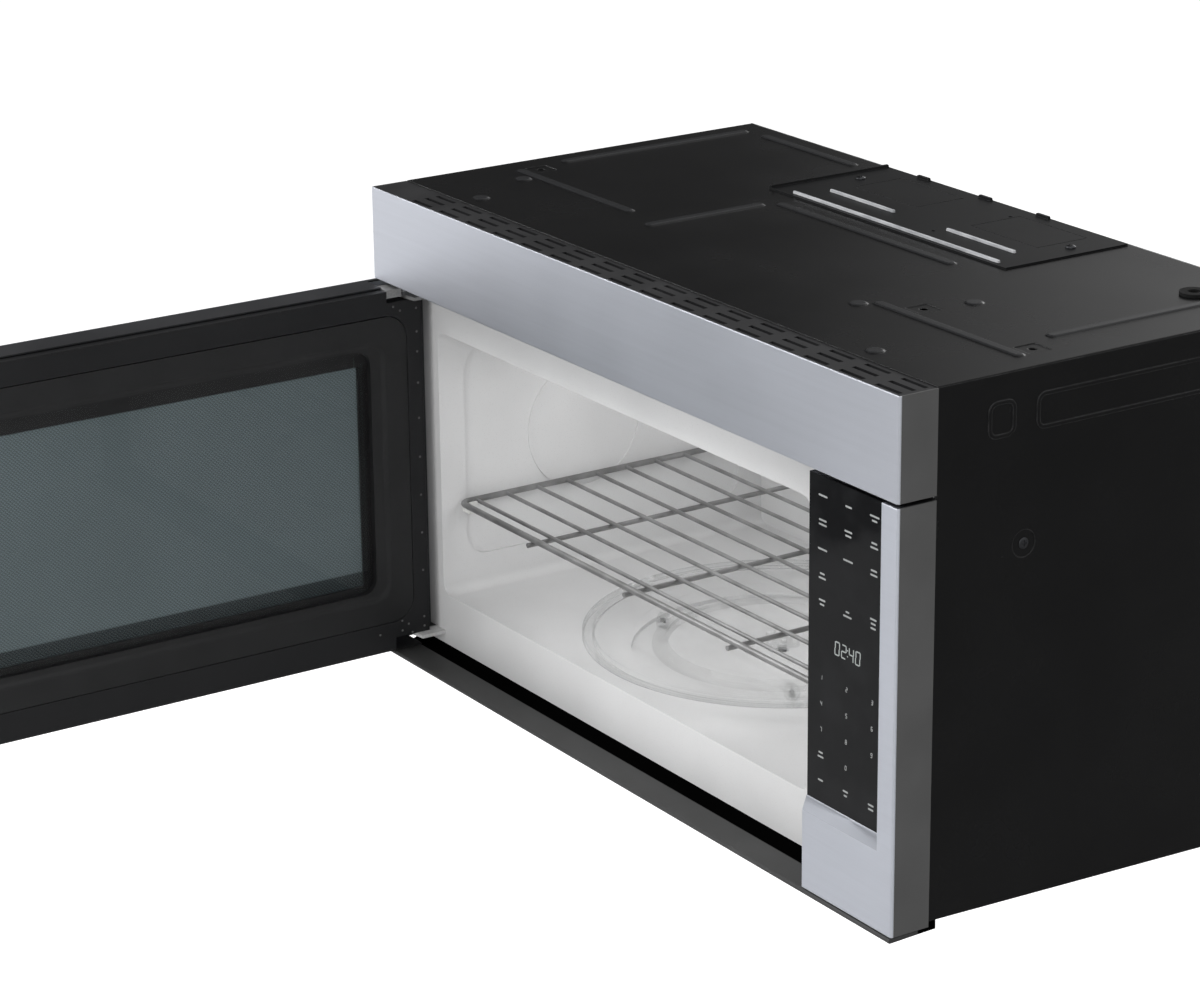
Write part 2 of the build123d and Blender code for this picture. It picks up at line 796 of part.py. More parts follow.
# ================================================================ trim on the front
with BuildPart() as top_fascia:
    with BuildSketch(level_plane(fascia_height)):
        between(0, width, 0, cap_front)
        fillet(vertices().group_by(Axis.Y)[0], trim_corner_radius)
    extrude(amount=fascia_height)
    with BuildSketch(level_plane(fascia_height)):
        between(trim_skin, width - trim_skin, trim_skin, cap_front)
    extrude(amount=fascia_height, mode=Mode.SUBTRACT)
    # bottom return that closes the fascia from below
    with BuildSketch(level_plane(fascia_height)):
        between(end_cap_thickness, width - end_cap_thickness, trim_skin, trim_depth)
    extrude(amount=trim_skin)
save(top_fascia, "top_fascia")

with BuildPart() as control_panel_frame:
    with BuildSketch(level_plane(panel_bottom_drop)):
        between(panel_left, width, 0, trim_wrap)
        fillet(vertices().group_by(Axis.Y)[0].sort_by(Axis.X)[-1], trim_corner_radius)
        # seat of the end cap
        between(width - end_cap_thickness, width, cap_front, trim_wrap, mode=Mode.SUBTRACT)
    extrude(amount=panel_bottom_drop - door_top_drop)
    # hollow behind the skin
    with BuildSketch(level_plane(panel_bottom_drop - trim_skin)):
        between(panel_left + trim_skin, width - end_cap_thickness - trim_skin, trim_skin, trim_wrap)
    extrude(amount=panel_bottom_drop - door_top_drop - 2 * trim_skin, mode=Mode.SUBTRACT)
    glass_right = panel_left + glass_left_gap + glass_width
    # window for the sunk glass, open at the left
    with BuildSketch(front_plane()):
        between(panel_left, glass_right, door_top_drop, bevel_bottom_drop)
    extrude(amount=trim_wrap, mode=Mode.SUBTRACT)
    # sloping strip under the glass
    with BuildSketch(cross_plane(panel_left)):
        outline(
            (0, -bevel_bottom_drop),
            (glass_sink, -glass_bottom_drop),
            (glass_sink + trim_skin, -glass_bottom_drop),
            (glass_sink + trim_skin, -glass_bottom_drop - trim_skin),
            (trim_skin, -bevel_bottom_drop - trim_skin),
            (0, -bevel_bottom_drop - trim_skin),
        )
    extrude(amount=glass_right - panel_left)
    # wall beside the glass
    with BuildSketch(front_plane(trim_skin)):
        between(glass_right, glass_right + trim_skin, door_top_drop, bevel_bottom_drop + trim_skin)
    extrude(amount=trim_wrap - trim_skin)
save(control_panel_frame, "control_panel_frame")

with BuildPart() as trim_end_caps:
    for cap_left, cap_top, cap_bottom in (
        (0, 0, fascia_height),
        (width - end_cap_thickness, 0, fascia_height),
        (width - end_cap_thickness, door_top_drop, panel_bottom_drop),
    ):
        with BuildSketch(front_plane(cap_front)):
            between(cap_left, cap_left + end_cap_thickness, cap_top, cap_bottom)
        extrude(amount=trim_depth - cap_front)
save(trim_end_caps, "trim_end_caps")

slot_count = int((width - slot_first_right - slot_left_margin) / slot_pitch) + 1
with BuildPart() as vent_grille:
    with BuildSketch(level_plane(0)):
        between(end_cap_thickness, width - end_cap_thickness, grille_front, trim_depth)
        fillet(vertices().group_by(Axis.Y)[0], trim_corner_radius - trim_skin + grille_corner_gap)
        for turn in range(slot_count):
            slot_middle = width - slot_first_right - turn * slot_pitch
            for slot_y in slot_row_depths:
                with Locations((slot_middle, slot_y)):
                    Rectangle(slot_length, slot_width, mode=Mode.SUBTRACT)
    extrude(amount=-grille_thickness)
save(vent_grille, "vent_grille")

with BuildPart() as charcoal_filter:
    with BuildSketch(front_plane(trim_wrap)):
        between(
            width / 2 - charcoal_length / 2,
            width / 2 + charcoal_length / 2,
            charcoal_drop,
            fascia_height - trim_skin,
        )
    extrude(amount=charcoal_thickness)
save(charcoal_filter, "charcoal_filter")

# ================================================================ control panel inside
with BuildPart() as control_glass:
    with BuildSketch(front_plane(glass_sink)):
        between(
            panel_left + glass_left_gap,
            glass_right - seat_gap,
            door_top_drop + glass_top_gap,
            glass_bottom_drop - seat_gap,
        )
    extrude(amount=glass_thickness)
save(control_glass, "control_glass")

chassis_left = panel_left + glass_left_gap
chassis_right = case_right - case_sheet
chassis_top = door_top_drop + glass_top_gap
chassis_bottom = flange_bottom_drop - bay_gap
chassis_front = max(glass_sink + glass_thickness, trim_wrap)
with BuildPart() as control_chassis:
    with BuildSketch(front_plane(chassis_front)):
        between(chassis_left, chassis_right, chassis_top, chassis_bottom)
    extrude(amount=flange_depth - chassis_front)
    with BuildSketch(front_plane(chassis_front + chassis_wall)):
        between(
            chassis_left + chassis_wall,
            chassis_right - chassis_wall,
            chassis_top + chassis_wall,
            chassis_bottom - chassis_wall,
        )
    extrude(amount=flange_depth - chassis_front - chassis_wall, mode=Mode.SUBTRACT)
    # window that the display looks through
    with BuildSketch(front_plane(chassis_front)):
        with Locations((panel_left + display_from_left, display_drop)):
            Rectangle(*display_size)
    extrude(amount=chassis_wall, mode=Mode.SUBTRACT)
    # posts that carry the board
    board_left = panel_left + display_from_left - board_size[0] / 2
    with BuildSketch(front_plane(chassis_front + chassis_wall)):
        for post_x in (board_left + board_post_inset, board_left + board_size[0] - board_post_inset):
            for post_y in (board_drop + board_post_inset, board_drop + board_size[1] - board_post_inset):
                disc(post_x, post_y, board_post_radius)
    extrude(amount=board_standoff)
save(control_chassis, "control_chassis")

board_front = chassis_front + chassis_wall + board_standoff
with BuildPart() as control_board:
    with BuildSketch(front_plane(board_front)):
        between(board_left, board_left + board_size[0], board_drop, board_drop + board_size[1])
    extrude(amount=board_size[2])
    with BuildSketch(front_plane(board_front + board_size[2])):
        with Locations((board_left + board_size[0] / 2, board_relay_drop)):
            Rectangle(board_relay_size[0], board_relay_size[1])
    extrude(amount=board_relay_size[2])
save(control_board, "control_board")

with BuildPart() as display_module:
    with BuildSketch(front_plane(board_front)):
        with Locations((panel_left + display_from_left, display_drop)):
            Rectangle(display_size[0] - 2 * display_gap, display_size[1] - 2 * display_gap)
    extrude(amount=-(board_front - chassis_front))
save(display_module, "display_module")

# ================================================================ oven cavity
with BuildPart() as oven_cavity:
    # flange that the door closes against
    with BuildSketch(front_plane(flange_depth)):
        between(flange_side_gap, case_right - case_sheet, door_top_drop, flange_bottom_drop)
        rounded_between(
            cavity_left, cavity_right, cavity_top_drop, opening_bottom_drop, cavity_corner_radius,
            mode=Mode.SUBTRACT,
        )
        between(
            panel_left + bay_margin,
            case_right - case_sheet - bay_margin,
            door_top_drop + 2 * bay_margin,
            flange_bottom_drop - 2 * bay_margin,
            mode=Mode.SUBTRACT,
        )
        for hook_drop in latch_hook_drops:
            between(
                hook_across - latch_hook_thickness / 2 - latch_clearance,
                hook_across + latch_hook_thickness / 2 + latch_clearance,
                hook_drop - latch_clearance - latch_travel,
                hook_drop + latch_hook_height + latch_tip + latch_clearance + latch_travel,
                mode=Mode.SUBTRACT,
            )
        for tongue_drop in (upper_tongue_drop, lower_tongue_drop):
            between(
                hinge_from_left - tongue_nose_radius - hinge_pin_gap,
                tongue_right + hinge_pin_gap,
                tongue_drop - hinge_pin_gap,
                tongue_drop + tongue_thickness + hinge_pin_gap,
                mode=Mode.SUBTRACT,
            )
    extrude(amount=cavity_sheet)
    # box behind it
    with BuildSketch(front_plane(cavity_front)):
        rounded_between(
            cavity_left - cavity_sheet, cavity_right + cavity_sheet,
            cavity_top_drop - cavity_sheet, floor_drop + cavity_sheet,
            cavity_corner_radius,
        )
    extrude(amount=cavity_back + cavity_sheet - cavity_front)
    # round recess under the turntable, seen from below as a shallow cup
    with BuildSketch(level_plane(track_drop + cavity_sheet)):
        disc(table_x, table_y, track_radius + cavity_sheet)
    extrude(amount=track_depth)
    # panel pressed out of the left wall
    panel_front = flange_depth + wall_panel_inset[0]
    panel_back = cavity_back - wall_panel_inset[1]
    with BuildSketch(cross_plane(cavity_left - cavity_sheet)):
        rounded_between(
            panel_front - cavity_sheet, panel_back + cavity_sheet,
            -wall_panel_top_drop + cavity_sheet, -wall_panel_bottom_drop - cavity_sheet,
            wall_panel_radius + cavity_sheet,
        )
    extrude(amount=-wall_panel_depth)
    # hollow of the oven
    with BuildSketch(front_plane(cavity_front)):
        rounded_between(
            cavity_left, cavity_right, cavity_top_drop, floor_drop,
            cavity_corner_radius - cavity_sheet,
        )
    extrude(amount=cavity_back - cavity_front, mode=Mode.SUBTRACT)
    with BuildSketch(level_plane(floor_drop)):
        disc(table_x, table_y, track_radius)
    extrude(amount=-track_depth, mode=Mode.SUBTRACT)
    with BuildSketch(cross_plane(cavity_left)):
        rounded_between(
            panel_front, panel_back, -wall_panel_top_drop, -wall_panel_bottom_drop, wall_panel_radius
        )
    extrude(amount=-wall_panel_depth, mode=Mode.SUBTRACT)
    # round mark that stands up from the pressed panel
    with BuildSketch(cross_plane(cavity_left - wall_panel_depth)):
        with Locations((flange_depth + wall_circle[0], -cavity_top_drop - wall_circle[1])):
            Circle(wall_circle_radius)
            Circle(wall_circle_radius - wall_circle_line, mode=Mode.SUBTRACT)
    extrude(amount=wall_circle_depth)
    # hole for the drive shaft, and the window that the waves come in by
    with BuildSketch(level_plane(track_drop)):
        disc(table_x, table_y, drive_shaft_radius + shaft_hole_gap)
    extrude(amount=-cavity_sheet, mode=Mode.SUBTRACT)
    with BuildSketch(cross_plane(cavity_right)):
        between(
            waveguide_front + waveguide_sheet,
            (waveguide_front + waveguide_back) / 2,
            -waveguide_top_drop - waveguide_sheet,
            -waveguide_top_drop - waveguide_height + waveguide_sheet,
        )
    extrude(amount=cavity_sheet, mode=Mode.SUBTRACT)
save(oven_cavity, "oven_cavity")

with BuildPart() as waveguide_cover:
    with BuildSketch(cross_plane(cavity_right)):
        between(
            waveguide_front - window_cover_margin,
            (waveguide_front + waveguide_back) / 2 + window_cover_margin,
            -waveguide_top_drop + window_cover_margin,
            -waveguide_top_drop - waveguide_height - window_cover_margin,
        )
    extrude(amount=-window_cover_sheet)
save(waveguide_cover, "waveguide_cover")

# ================================================================ wire rack
rack_left = cavity_left + rack_side_gap
rack_right = cavity_right - rack_side_gap
rack_front = flange_depth + rack_front_gap
rack_back = cavity_back - rack_back_gap
cross_drop = rack_drop + frame_wire / 2 + cross_wire / 2 - wire_weld
thin_wire_room = rack_back - rack_front - thin_wire_first - thin_wire_last
with BuildSketch(level_plane(rack_drop)) as rack_outline:
    rounded_between(rack_left, rack_right, rack_front, rack_back, rack_corner_radius)
rack_path = rack_outline.sketch.wires()[0]

with BuildPart() as wire_rack:
    with BuildSketch(Plane(origin=rack_path @ 0, z_dir=rack_path % 0)):
        Circle(frame_wire / 2)
    sweep(path=rack_path)
    for turn in range(int(thin_wire_room / thin_wire_pitch) + 1):
        wire_y = rack_front + thin_wire_first + turn * thin_wire_pitch
        with BuildSketch(cross_plane(rack_left)):
            disc(wire_y, -rack_drop, thin_wire / 2)
        extrude(amount=rack_right - rack_left)
    for turn in (-1, 0, 1):
        with BuildSketch(front_plane(rack_front - cross_wire_reach)):
            disc(table_x + turn * cross_wire_spacing, cross_drop, cross_wire / 2)
        extrude(amount=rack_back - rack_front + 2 * cross_wire_reach)
save(wire_rack, "wire_rack")

with BuildPart() as rack_supports:
    shelf_drop = rack_drop + frame_wire / 2 + rack_lift_gap
    lip_top = shelf_drop - support_lip_height
    for wall, inward in ((cavity_left, 1), (cavity_right, -1)):
        shelf_end = wall + inward * support_shelf[0]
        for shelf_middle in (rack_front + rack_corner_radius, rack_back - rack_corner_radius):
            with BuildSketch(front_plane(shelf_middle - support_shelf[1] / 2)):
                between(wall, shelf_end, shelf_drop, shelf_drop + support_shelf[2])
                between(shelf_end, shelf_end - inward * support_lip, shelf_drop, lip_top)
            extrude(amount=support_shelf[1])
save(rack_supports, "rack_supports")

# ================================================================ turntable
table_axis = Axis((left_x + table_x, front_y + table_y, 0), (0, 0, 1))
tray_under = track_drop - tray_under_drop      # tray's underside above the track
tray_flat = tray_radius - tray_lip_width - tray_slope_width
tray_rise = tray_thickness + tray_lip_rise
with BuildPart() as glass_tray:
    with BuildSketch(table_plane()):
        outline(
            (0, tray_under),
            (tray_flat, tray_under),
            (tray_radius - tray_lip_width, tray_under + tray_lip_rise * 0.5),
            (tray_radius, tray_under + tray_lip_rise * 0.5),
            (tray_radius, tray_under + tray_rise),
            (tray_radius - tray_lip_width, tray_under + tray_rise),
            (tray_flat, tray_under + tray_thickness),
            (0, tray_under + tray_thickness),
        )
    revolve(axis=table_axis)
    # three lugs under the tray, driven by the coupler's lobes
    lug_radius = coupler_radius - coupler_lobe / 2
    with BuildSketch(level_plane(tray_under_drop)):
        with Locations((table_x, table_y)):
            with PolarLocations(lug_radius, 3, start_angle=90):
                Circle(coupler_lobe / 2 - coupler_fit)
    extrude(amount=-tray_lug_height)
save(glass_tray, "glass_tray")

with BuildPart() as turntable_coupler:
    coupler_top = tray_under_drop + coupler_fit
    with BuildSketch(level_plane(coupler_top + coupler_height)):
        with Locations((table_x, table_y)):
            Circle(coupler_radius - coupler_lobe)
            with PolarLocations(coupler_radius - coupler_lobe, 3, start_angle=30):
                Circle(coupler_lobe)
    extrude(amount=coupler_height)
    with BuildSketch(level_plane(coupler_top + coupler_height)):
        disc(table_x, table_y, drive_shaft_radius)
    extrude(amount=-(track_drop + cavity_sheet + drive_shaft_reach - coupler_top - coupler_height))
save(turntable_coupler, "turntable_coupler")

with BuildPart() as turntable_motor:
    motor_top = track_drop + cavity_sheet
    with BuildSketch(level_plane(motor_top)):
        with Locations((table_x, table_y)):
            SlotOverall(2 * turntable_motor_radius + 2 * motor_ear_length, motor_ear_width)
    extrude(amount=-motor_ear_sheet)
    with BuildSketch(level_plane(motor_top)):
        disc(table_x, table_y, turntable_motor_radius)
    extrude(amount=-turntable_motor_height)
    with BuildSketch(level_plane(motor_top)):
        disc(table_x, table_y, drive_shaft_radius + shaft_running_gap)
    extrude(amount=-drive_shaft_reach - seat_gap, mode=Mode.SUBTRACT)
save(turntable_motor, "turntable_motor")

wheel_rise = track_drop - wheel_drop


def spoke_plane(turn, out):
    """Plane square to one roller's axle, a distance out from the turntable's axis."""
    heading = math.radians(roller_first_angle + turn * 360 / roller_count)
    spoke = Vector(math.cos(heading), math.sin(heading), 0)
    hub = Vector(left_x + table_x, front_y + table_y, top_z - wheel_drop)
    return Plane(origin=hub + spoke * out, z_dir=spoke)


with BuildPart() as roller_ring:
    with BuildSketch(table_plane()):
        ring_low = wheel_rise - ring_thickness / 2
        outline(
            (ring_inner_radius, ring_low),
            (ring_outer_radius, ring_low),
            (ring_outer_radius, ring_low + ring_thickness),
            (ring_inner_radius + ring_thickness, ring_low + ring_thickness),
            (ring_inner_radius + ring_thickness, ring_low + ring_edge_height),
            (ring_inner_radius, ring_low + ring_edge_height),
        )
    revolve(axis=table_axis)
    for turn in range(roller_count):
        with BuildSketch(spoke_plane(turn, ring_outer_radius - stub_root)):
            Circle(stub_radius)
        extrude(amount=stub_root + stub_length)
        with BuildSketch(spoke_plane(turn, ring_outer_radius + stub_length - stub_head_length)):
            Circle(stub_head_radius)
        extrude(amount=stub_head_length)
save(roller_ring, "roller_ring")

for turn in range(roller_count):
    with BuildPart() as roller:
        with BuildSketch(spoke_plane(turn, ring_outer_radius + roller_gap)):
            Circle(roller_radius)
            Circle(roller_bore, mode=Mode.SUBTRACT)
        extrude(amount=roller_width)
    save(roller, "roller_" + str(turn + 1))

# ================================================================ door
inner_left = inner_inset
inner_right = door_width - inner_inset
inner_top = door_top_drop + inner_top_inset
inner_bottom = door_bottom_drop - inner_bottom_inset
glass_left = door_window_margin[0]
glass_end = door_width - door_window_right
glass_top = door_top_drop + door_window_margin[1]
glass_bottom = door_bottom_drop - door_window_margin[1]

with BuildPart() as door_frame:
    with BuildSketch(door_level_plane(door_bottom_drop)):
        between(0, door_width, 0, door_return)
        fillet(vertices().group_by(Axis.Y)[0], door_corner_radius)
    extrude(amount=door_bottom_drop - door_top_drop)
    with BuildSketch(door_level_plane(door_bottom_drop - trim_skin)):
        between(trim_skin, door_width - trim_skin, trim_skin, door_return)
        fillet(vertices().group_by(Axis.Y)[0], door_corner_radius - trim_skin)
    extrude(amount=door_bottom_drop - door_top_drop - 2 * trim_skin, mode=Mode.SUBTRACT)
    with BuildSketch(door_plane()):
        rounded_between(glass_left, glass_end, glass_top, glass_bottom, door_glass_corner)
    extrude(amount=trim_skin, mode=Mode.SUBTRACT)
    # hinge corners, cut out behind the front skin
    with BuildSketch(door_plane(door_corner_radius)):
        between(0, notch_width, door_top_drop, notch_top)
        between(0, notch_width, notch_bottom, door_bottom_drop)
    extrude(amount=door_depth, mode=Mode.SUBTRACT)
save(door_frame, "door_frame")

with BuildPart() as door_outer_glass:
    with BuildSketch(door_plane(trim_skin)):
        between(
            glass_left - door_glass_hold, glass_end + door_glass_hold,
            glass_top - door_glass_hold, glass_bottom + door_glass_hold,
        )
    extrude(amount=door_glass_thickness)
save(door_outer_glass, "door_outer_glass")

choke_right = door_width - choke_left
lip_right = door_width - lip_left
window_right = door_width - window_left
inner_glass_front = door_depth - window_sink - inner_glass_thickness


def panel_outline(inset):
    """Outline of the inner panel with its hinge corners cut away, drawn smaller."""
    outline(
        (inner_left + inset, notch_top + inset),
        (notch_width + inset, notch_top + inset),
        (notch_width + inset, inner_top + inset),
        (inner_right - inset, inner_top + inset),
        (inner_right - inset, inner_bottom - inset),
        (notch_width + inset, inner_bottom - inset),
        (notch_width + inset, notch_bottom - inset),
        (inner_left + inset, notch_bottom - inset),
    )


with BuildPart() as door_inner_panel:
    with BuildSketch(door_plane(trim_skin)):
        panel_outline(0)
    extrude(amount=door_depth - trim_skin)
    with BuildSketch(door_plane(trim_skin)):
        panel_outline(inner_sheet)
    extrude(amount=door_depth - trim_skin - inner_sheet, mode=Mode.SUBTRACT)
    # opening that the choke cover fills
    with BuildSketch(door_plane(door_depth - inner_sheet)):
        rounded_between(choke_left, choke_right, choke_top_drop, choke_bottom_drop, choke_radius)
    extrude(amount=inner_sheet, mode=Mode.SUBTRACT)
    # inner frame that carries the choke cover and the screen
    screen_front = choke_back - mesh_sheet - inner_sheet
    with BuildSketch(door_plane(screen_front)):
        rounded_between(
            choke_left - inner_sheet, choke_right + inner_sheet,
            choke_top_drop - inner_sheet, choke_bottom_drop + inner_sheet,
            choke_radius + inner_sheet,
        )
        rounded_between(choke_left, choke_right, choke_top_drop, choke_bottom_drop, choke_radius,
                        mode=Mode.SUBTRACT)
    extrude(amount=door_depth - screen_front)
    with BuildSketch(door_plane(screen_front)):
        rounded_between(choke_left, choke_right, choke_top_drop, choke_bottom_drop, choke_radius)
        rounded_between(window_left, window_right, window_top_drop, window_bottom_drop, window_radius,
                        mode=Mode.SUBTRACT)
    extrude(amount=inner_sheet)
    # holes that the hinge pins turn in
    with BuildSketch(door_level_plane(notch_bottom)):
        disc(hinge_from_left, hinge_from_front, hinge_pin_radius + hinge_pin_gap)
    extrude(amount=notch_bottom - notch_top, mode=Mode.SUBTRACT)
    # slots that the latch hooks reach through
    with BuildSketch(door_plane(door_depth - inner_sheet)):
        for hook_drop in latch_hook_drops:
            between(
                hook_across - latch_hook_thickness / 2 - latch_slot_gap,
                hook_across + latch_hook_thickness / 2 + latch_slot_gap,
                hook_drop - latch_slot_gap,
                hook_drop + latch_hook_height + latch_tip + latch_travel + latch_slot_gap,
            )
    extrude(amount=inner_sheet, mode=Mode.SUBTRACT)
save(door_inner_panel, "door_inner_panel")

with BuildPart() as mesh_screen:
    with BuildSketch(door_plane(choke_back - mesh_sheet)):
        rounded_between(
            window_left - mesh_overlap, window_right + mesh_overlap,
            window_top_drop - mesh_overlap, window_bottom_drop + mesh_overlap,
            window_radius,
        )
    extrude(amount=mesh_sheet)
save(mesh_screen, "mesh_screen")

with BuildPart() as choke_cover:
    with BuildSketch(door_plane(choke_back)):
        rounded_between(
            choke_left + choke_gap, choke_right - choke_gap,
            choke_top_drop + choke_gap, choke_bottom_drop - choke_gap,
            choke_radius - choke_gap,
        )
        rounded_between(window_left, window_right, window_top_drop, window_bottom_drop, window_radius,
                        mode=Mode.SUBTRACT)
    extrude(amount=door_depth - choke_back)
    # the middle lies lower, down a soft slope
    for (near, shallow), (far, deep) in zip(dish_slope, dish_slope[1:]):
        for inset, sink in ((near, shallow), (far, deep)):
            with BuildSketch(door_plane(door_depth - sink)):
                rounded_between(
                    dish_left + inset, door_width - dish_left - inset,
                    choke_top_drop + dish_left - choke_left + inset,
                    choke_bottom_drop - dish_left + choke_left - inset,
                    dish_radius - inset,
                )
        loft(mode=Mode.SUBTRACT)
    # seat of the inner glass, sunk behind the lip
    with BuildSketch(door_plane(inner_glass_front)):
        rounded_between(lip_left, lip_right, well_top_drop, well_bottom_drop, lip_radius)
    extrude(amount=door_depth - inner_glass_front, mode=Mode.SUBTRACT)
    # channel round the window, open to the front
    with BuildSketch(door_plane(choke_back)):
        rounded_between(
            choke_left + choke_wall, choke_right - choke_wall,
            choke_top_drop + choke_wall, choke_bottom_drop - choke_wall,
            choke_radius - choke_wall,
        )
        rounded_between(
            lip_left - choke_wall, lip_right + choke_wall,
            well_top_drop - choke_wall, well_bottom_drop + choke_wall,
            lip_radius, mode=Mode.SUBTRACT,
        )
    extrude(amount=door_depth - choke_back - choke_wall, mode=Mode.SUBTRACT)
save(choke_cover, "choke_cover")

with BuildPart() as door_inner_glass:
    with BuildSketch(door_plane(inner_glass_front)):
        rounded_between(
            lip_left + seat_gap, lip_right - seat_gap,
            well_top_drop + seat_gap, well_bottom_drop - seat_gap,
            lip_radius - seat_gap,
        )
    extrude(amount=inner_glass_thickness)
save(door_inner_glass, "door_inner_glass")

handle_across = door_width - handle_from_edge
with BuildPart() as door_handle:
    with BuildSketch(door_level_plane(handle_bottom_drop)):
        disc(handle_across, -handle_reach, handle_radius)
    extrude(amount=handle_bottom_drop - handle_top_drop)
    fillet(edges().filter_by(GeomType.CIRCLE), handle_end_round)
    # two posts that carry the bar
    with BuildSketch(door_plane()):
        for post_drop in (handle_top_drop + handle_post_inset, handle_bottom_drop - handle_post_inset):
            disc(handle_across, post_drop, handle_post_radius)
    extrude(amount=-handle_reach)
save(door_handle, "door_handle")

# ---------------------------------------------------------------- hinges
with BuildPart() as hinge_plates:
    for tongue_drop, leg_way in ((upper_tongue_drop, 1), (lower_tongue_drop, -1)):
        tongue_under = tongue_drop + tongue_thickness
        with BuildSketch(level_plane(tongue_under)):
            outline(
                (hinge_from_left - tongue_nose_radius, hinge_from_front),
                (hinge_from_left, hinge_from_front - tongue_nose_radius),
                (tongue_right, tongue_corner_depth),
                (tongue_right, cavity_front + inner_sheet),
                (hinge_from_left - tongue_nose_radius, cavity_front + inner_sheet),
            )
            disc(hinge_from_left, hinge_from_front, tongue_nose_radius)
            disc(hinge_from_left, hinge_from_front, hinge_pin_radius + hinge_pin_gap, mode=Mode.SUBTRACT)
        extrude(amount=tongue_thickness)
        # leg behind the flange
        leg_end = tongue_drop + leg_way * tongue_leg_height
        with BuildSketch(front_plane(cavity_front)):
            between(hinge_from_left - tongue_nose_radius, tongue_right, tongue_drop, leg_end)
        extrude(amount=inner_sheet)
save(hinge_plates, "hinge_plates")

with BuildPart() as hinge_pins:
    for tongue_near, head_side, pin_end in (
        (upper_tongue_drop, -1, notch_top + inner_sheet + hinge_pin_reach),
        (lower_tongue_drop + tongue_thickness, 1, notch_bottom - inner_sheet - hinge_pin_reach),
    ):
        with BuildSketch(level_plane(pin_end)):
            disc(hinge_from_left, hinge_from_front, hinge_pin_radius)
        extrude(amount=pin_end - tongue_near)
        with BuildSketch(level_plane(tongue_near)):
            disc(hinge_from_left, hinge_from_front, hinge_pin_head)
        extrude(amount=-head_side * hinge_pin_head_height)
save(hinge_pins, "hinge_pins")

with BuildPart() as upper_hinge_bracket:
    bracket_bottom = upper_tongue_drop - seat_gap
    with BuildSketch(door_level_plane(bracket_bottom)):
        between(
            notch_width - bracket_size[0], notch_width,
            bracket_from_front, bracket_from_front + bracket_size[1],
        )
    extrude(amount=bracket_size[2])
save(upper_hinge_bracket, "upper_hinge_bracket")

# ---------------------------------------------------------------- latch
bar_left = hook_across - latch_bar_width / 2
bar_right = hook_across + latch_bar_width / 2
bar_top = latch_hook_drops[0]
bar_bottom = latch_hook_drops[1] + latch_hook_height + latch_hook_height
with BuildPart() as latch_hooks:
    with BuildSketch(door_plane(latch_bar_from_front)):
        between(bar_left, bar_right, bar_top, bar_bottom)
    extrude(amount=latch_bar_depth)
    hook_end = door_depth + latch_hook_reach
    with BuildSketch(door_cross_plane(hook_across - latch_hook_thickness / 2)):
        for hook_drop in latch_hook_drops:
            outline(
                (latch_bar_from_front + latch_bar_depth, -hook_drop),
                (hook_end - latch_tip, -hook_drop),
                (hook_end, -hook_drop - latch_hook_height),
                (hook_end - latch_tip, -hook_drop - latch_hook_height - latch_tip),
                (hook_end - 2 * latch_tip, -hook_drop - latch_hook_height),
                (latch_bar_from_front + latch_bar_depth, -hook_drop - latch_hook_height),
            )
    extrude(amount=latch_hook_thickness)
save(latch_hooks, "latch_hooks")

inner_wall = inner_right - inner_sheet
guide_left = bar_left - seat_gap - latch_guide_wall
guide_front = latch_bar_from_front - seat_gap - latch_guide_wall
guide_back = latch_bar_from_front + latch_bar_depth + seat_gap + latch_guide_wall
spring_seat = bar_bottom + spring_length + seat_gap
with BuildPart() as latch_guides:
    for guide_bottom in (
        bar_top + latch_guide_from_ends + latch_guide_height,
        bar_bottom - latch_guide_from_ends,
    ):
        with BuildSketch(door_level_plane(guide_bottom)):
            between(guide_left, inner_wall, guide_front, guide_back)
            between(
                bar_left - seat_gap, bar_right + seat_gap,
                guide_front + latch_guide_wall, guide_back - latch_guide_wall,
                mode=Mode.SUBTRACT,
            )
        extrude(amount=latch_guide_height)
    # seat under the spring
    with BuildSketch(door_level_plane(spring_seat + latch_guide_wall)):
        between(guide_left, inner_wall, guide_front, guide_back)
    extrude(amount=latch_guide_wall)
save(latch_guides, "latch_guides")

spring_foot = door_level_plane(spring_seat - spring_wire / 2 - seat_gap)
spring_centre = spring_foot.from_local_coords((hook_across, latch_bar_from_front + latch_bar_depth / 2, 0))
coil_height = spring_length - spring_wire - seat_gap
with BuildPart() as latch_spring:
    with BuildLine(Plane(origin=spring_centre)) as coil:
        Helix(pitch=coil_height / spring_turns, height=coil_height, radius=spring_radius)
    with BuildSketch(Plane(origin=coil.edges()[0] @ 0, z_dir=coil.edges()[0] % 0)):
        Circle(spring_wire / 2)
    sweep(path=coil.edges()[0], is_frenet=True)
save(latch_spring, "latch_spring")

housing_left = hook_across - latch_housing_width / 2
housing_right = hook_across + latch_housing_width / 2
housing_top = latch_hook_drops[0] - latch_housing_margin
housing_bottom = latch_hook_drops[1] + latch_hook_height + latch_housing_margin
with BuildPart() as latch_housing:
    with BuildSketch(front_plane(cavity_front)):
        between(housing_left, housing_right, housing_top, housing_bottom)
    extrude(amount=latch_housing_depth)
    with BuildSketch(front_plane(cavity_front)):
        for hook_drop in latch_hook_drops:
            between(
                hook_across - latch_hook_thickness / 2 - latch_clearance,
                hook_across + latch_hook_thickness / 2 + latch_clearance,
                hook_drop - latch_clearance - latch_travel,
                hook_drop + latch_hook_height + latch_tip + latch_clearance + latch_travel,
            )
    extrude(amount=latch_housing_depth, mode=Mode.SUBTRACT)
save(latch_housing, "latch_housing")

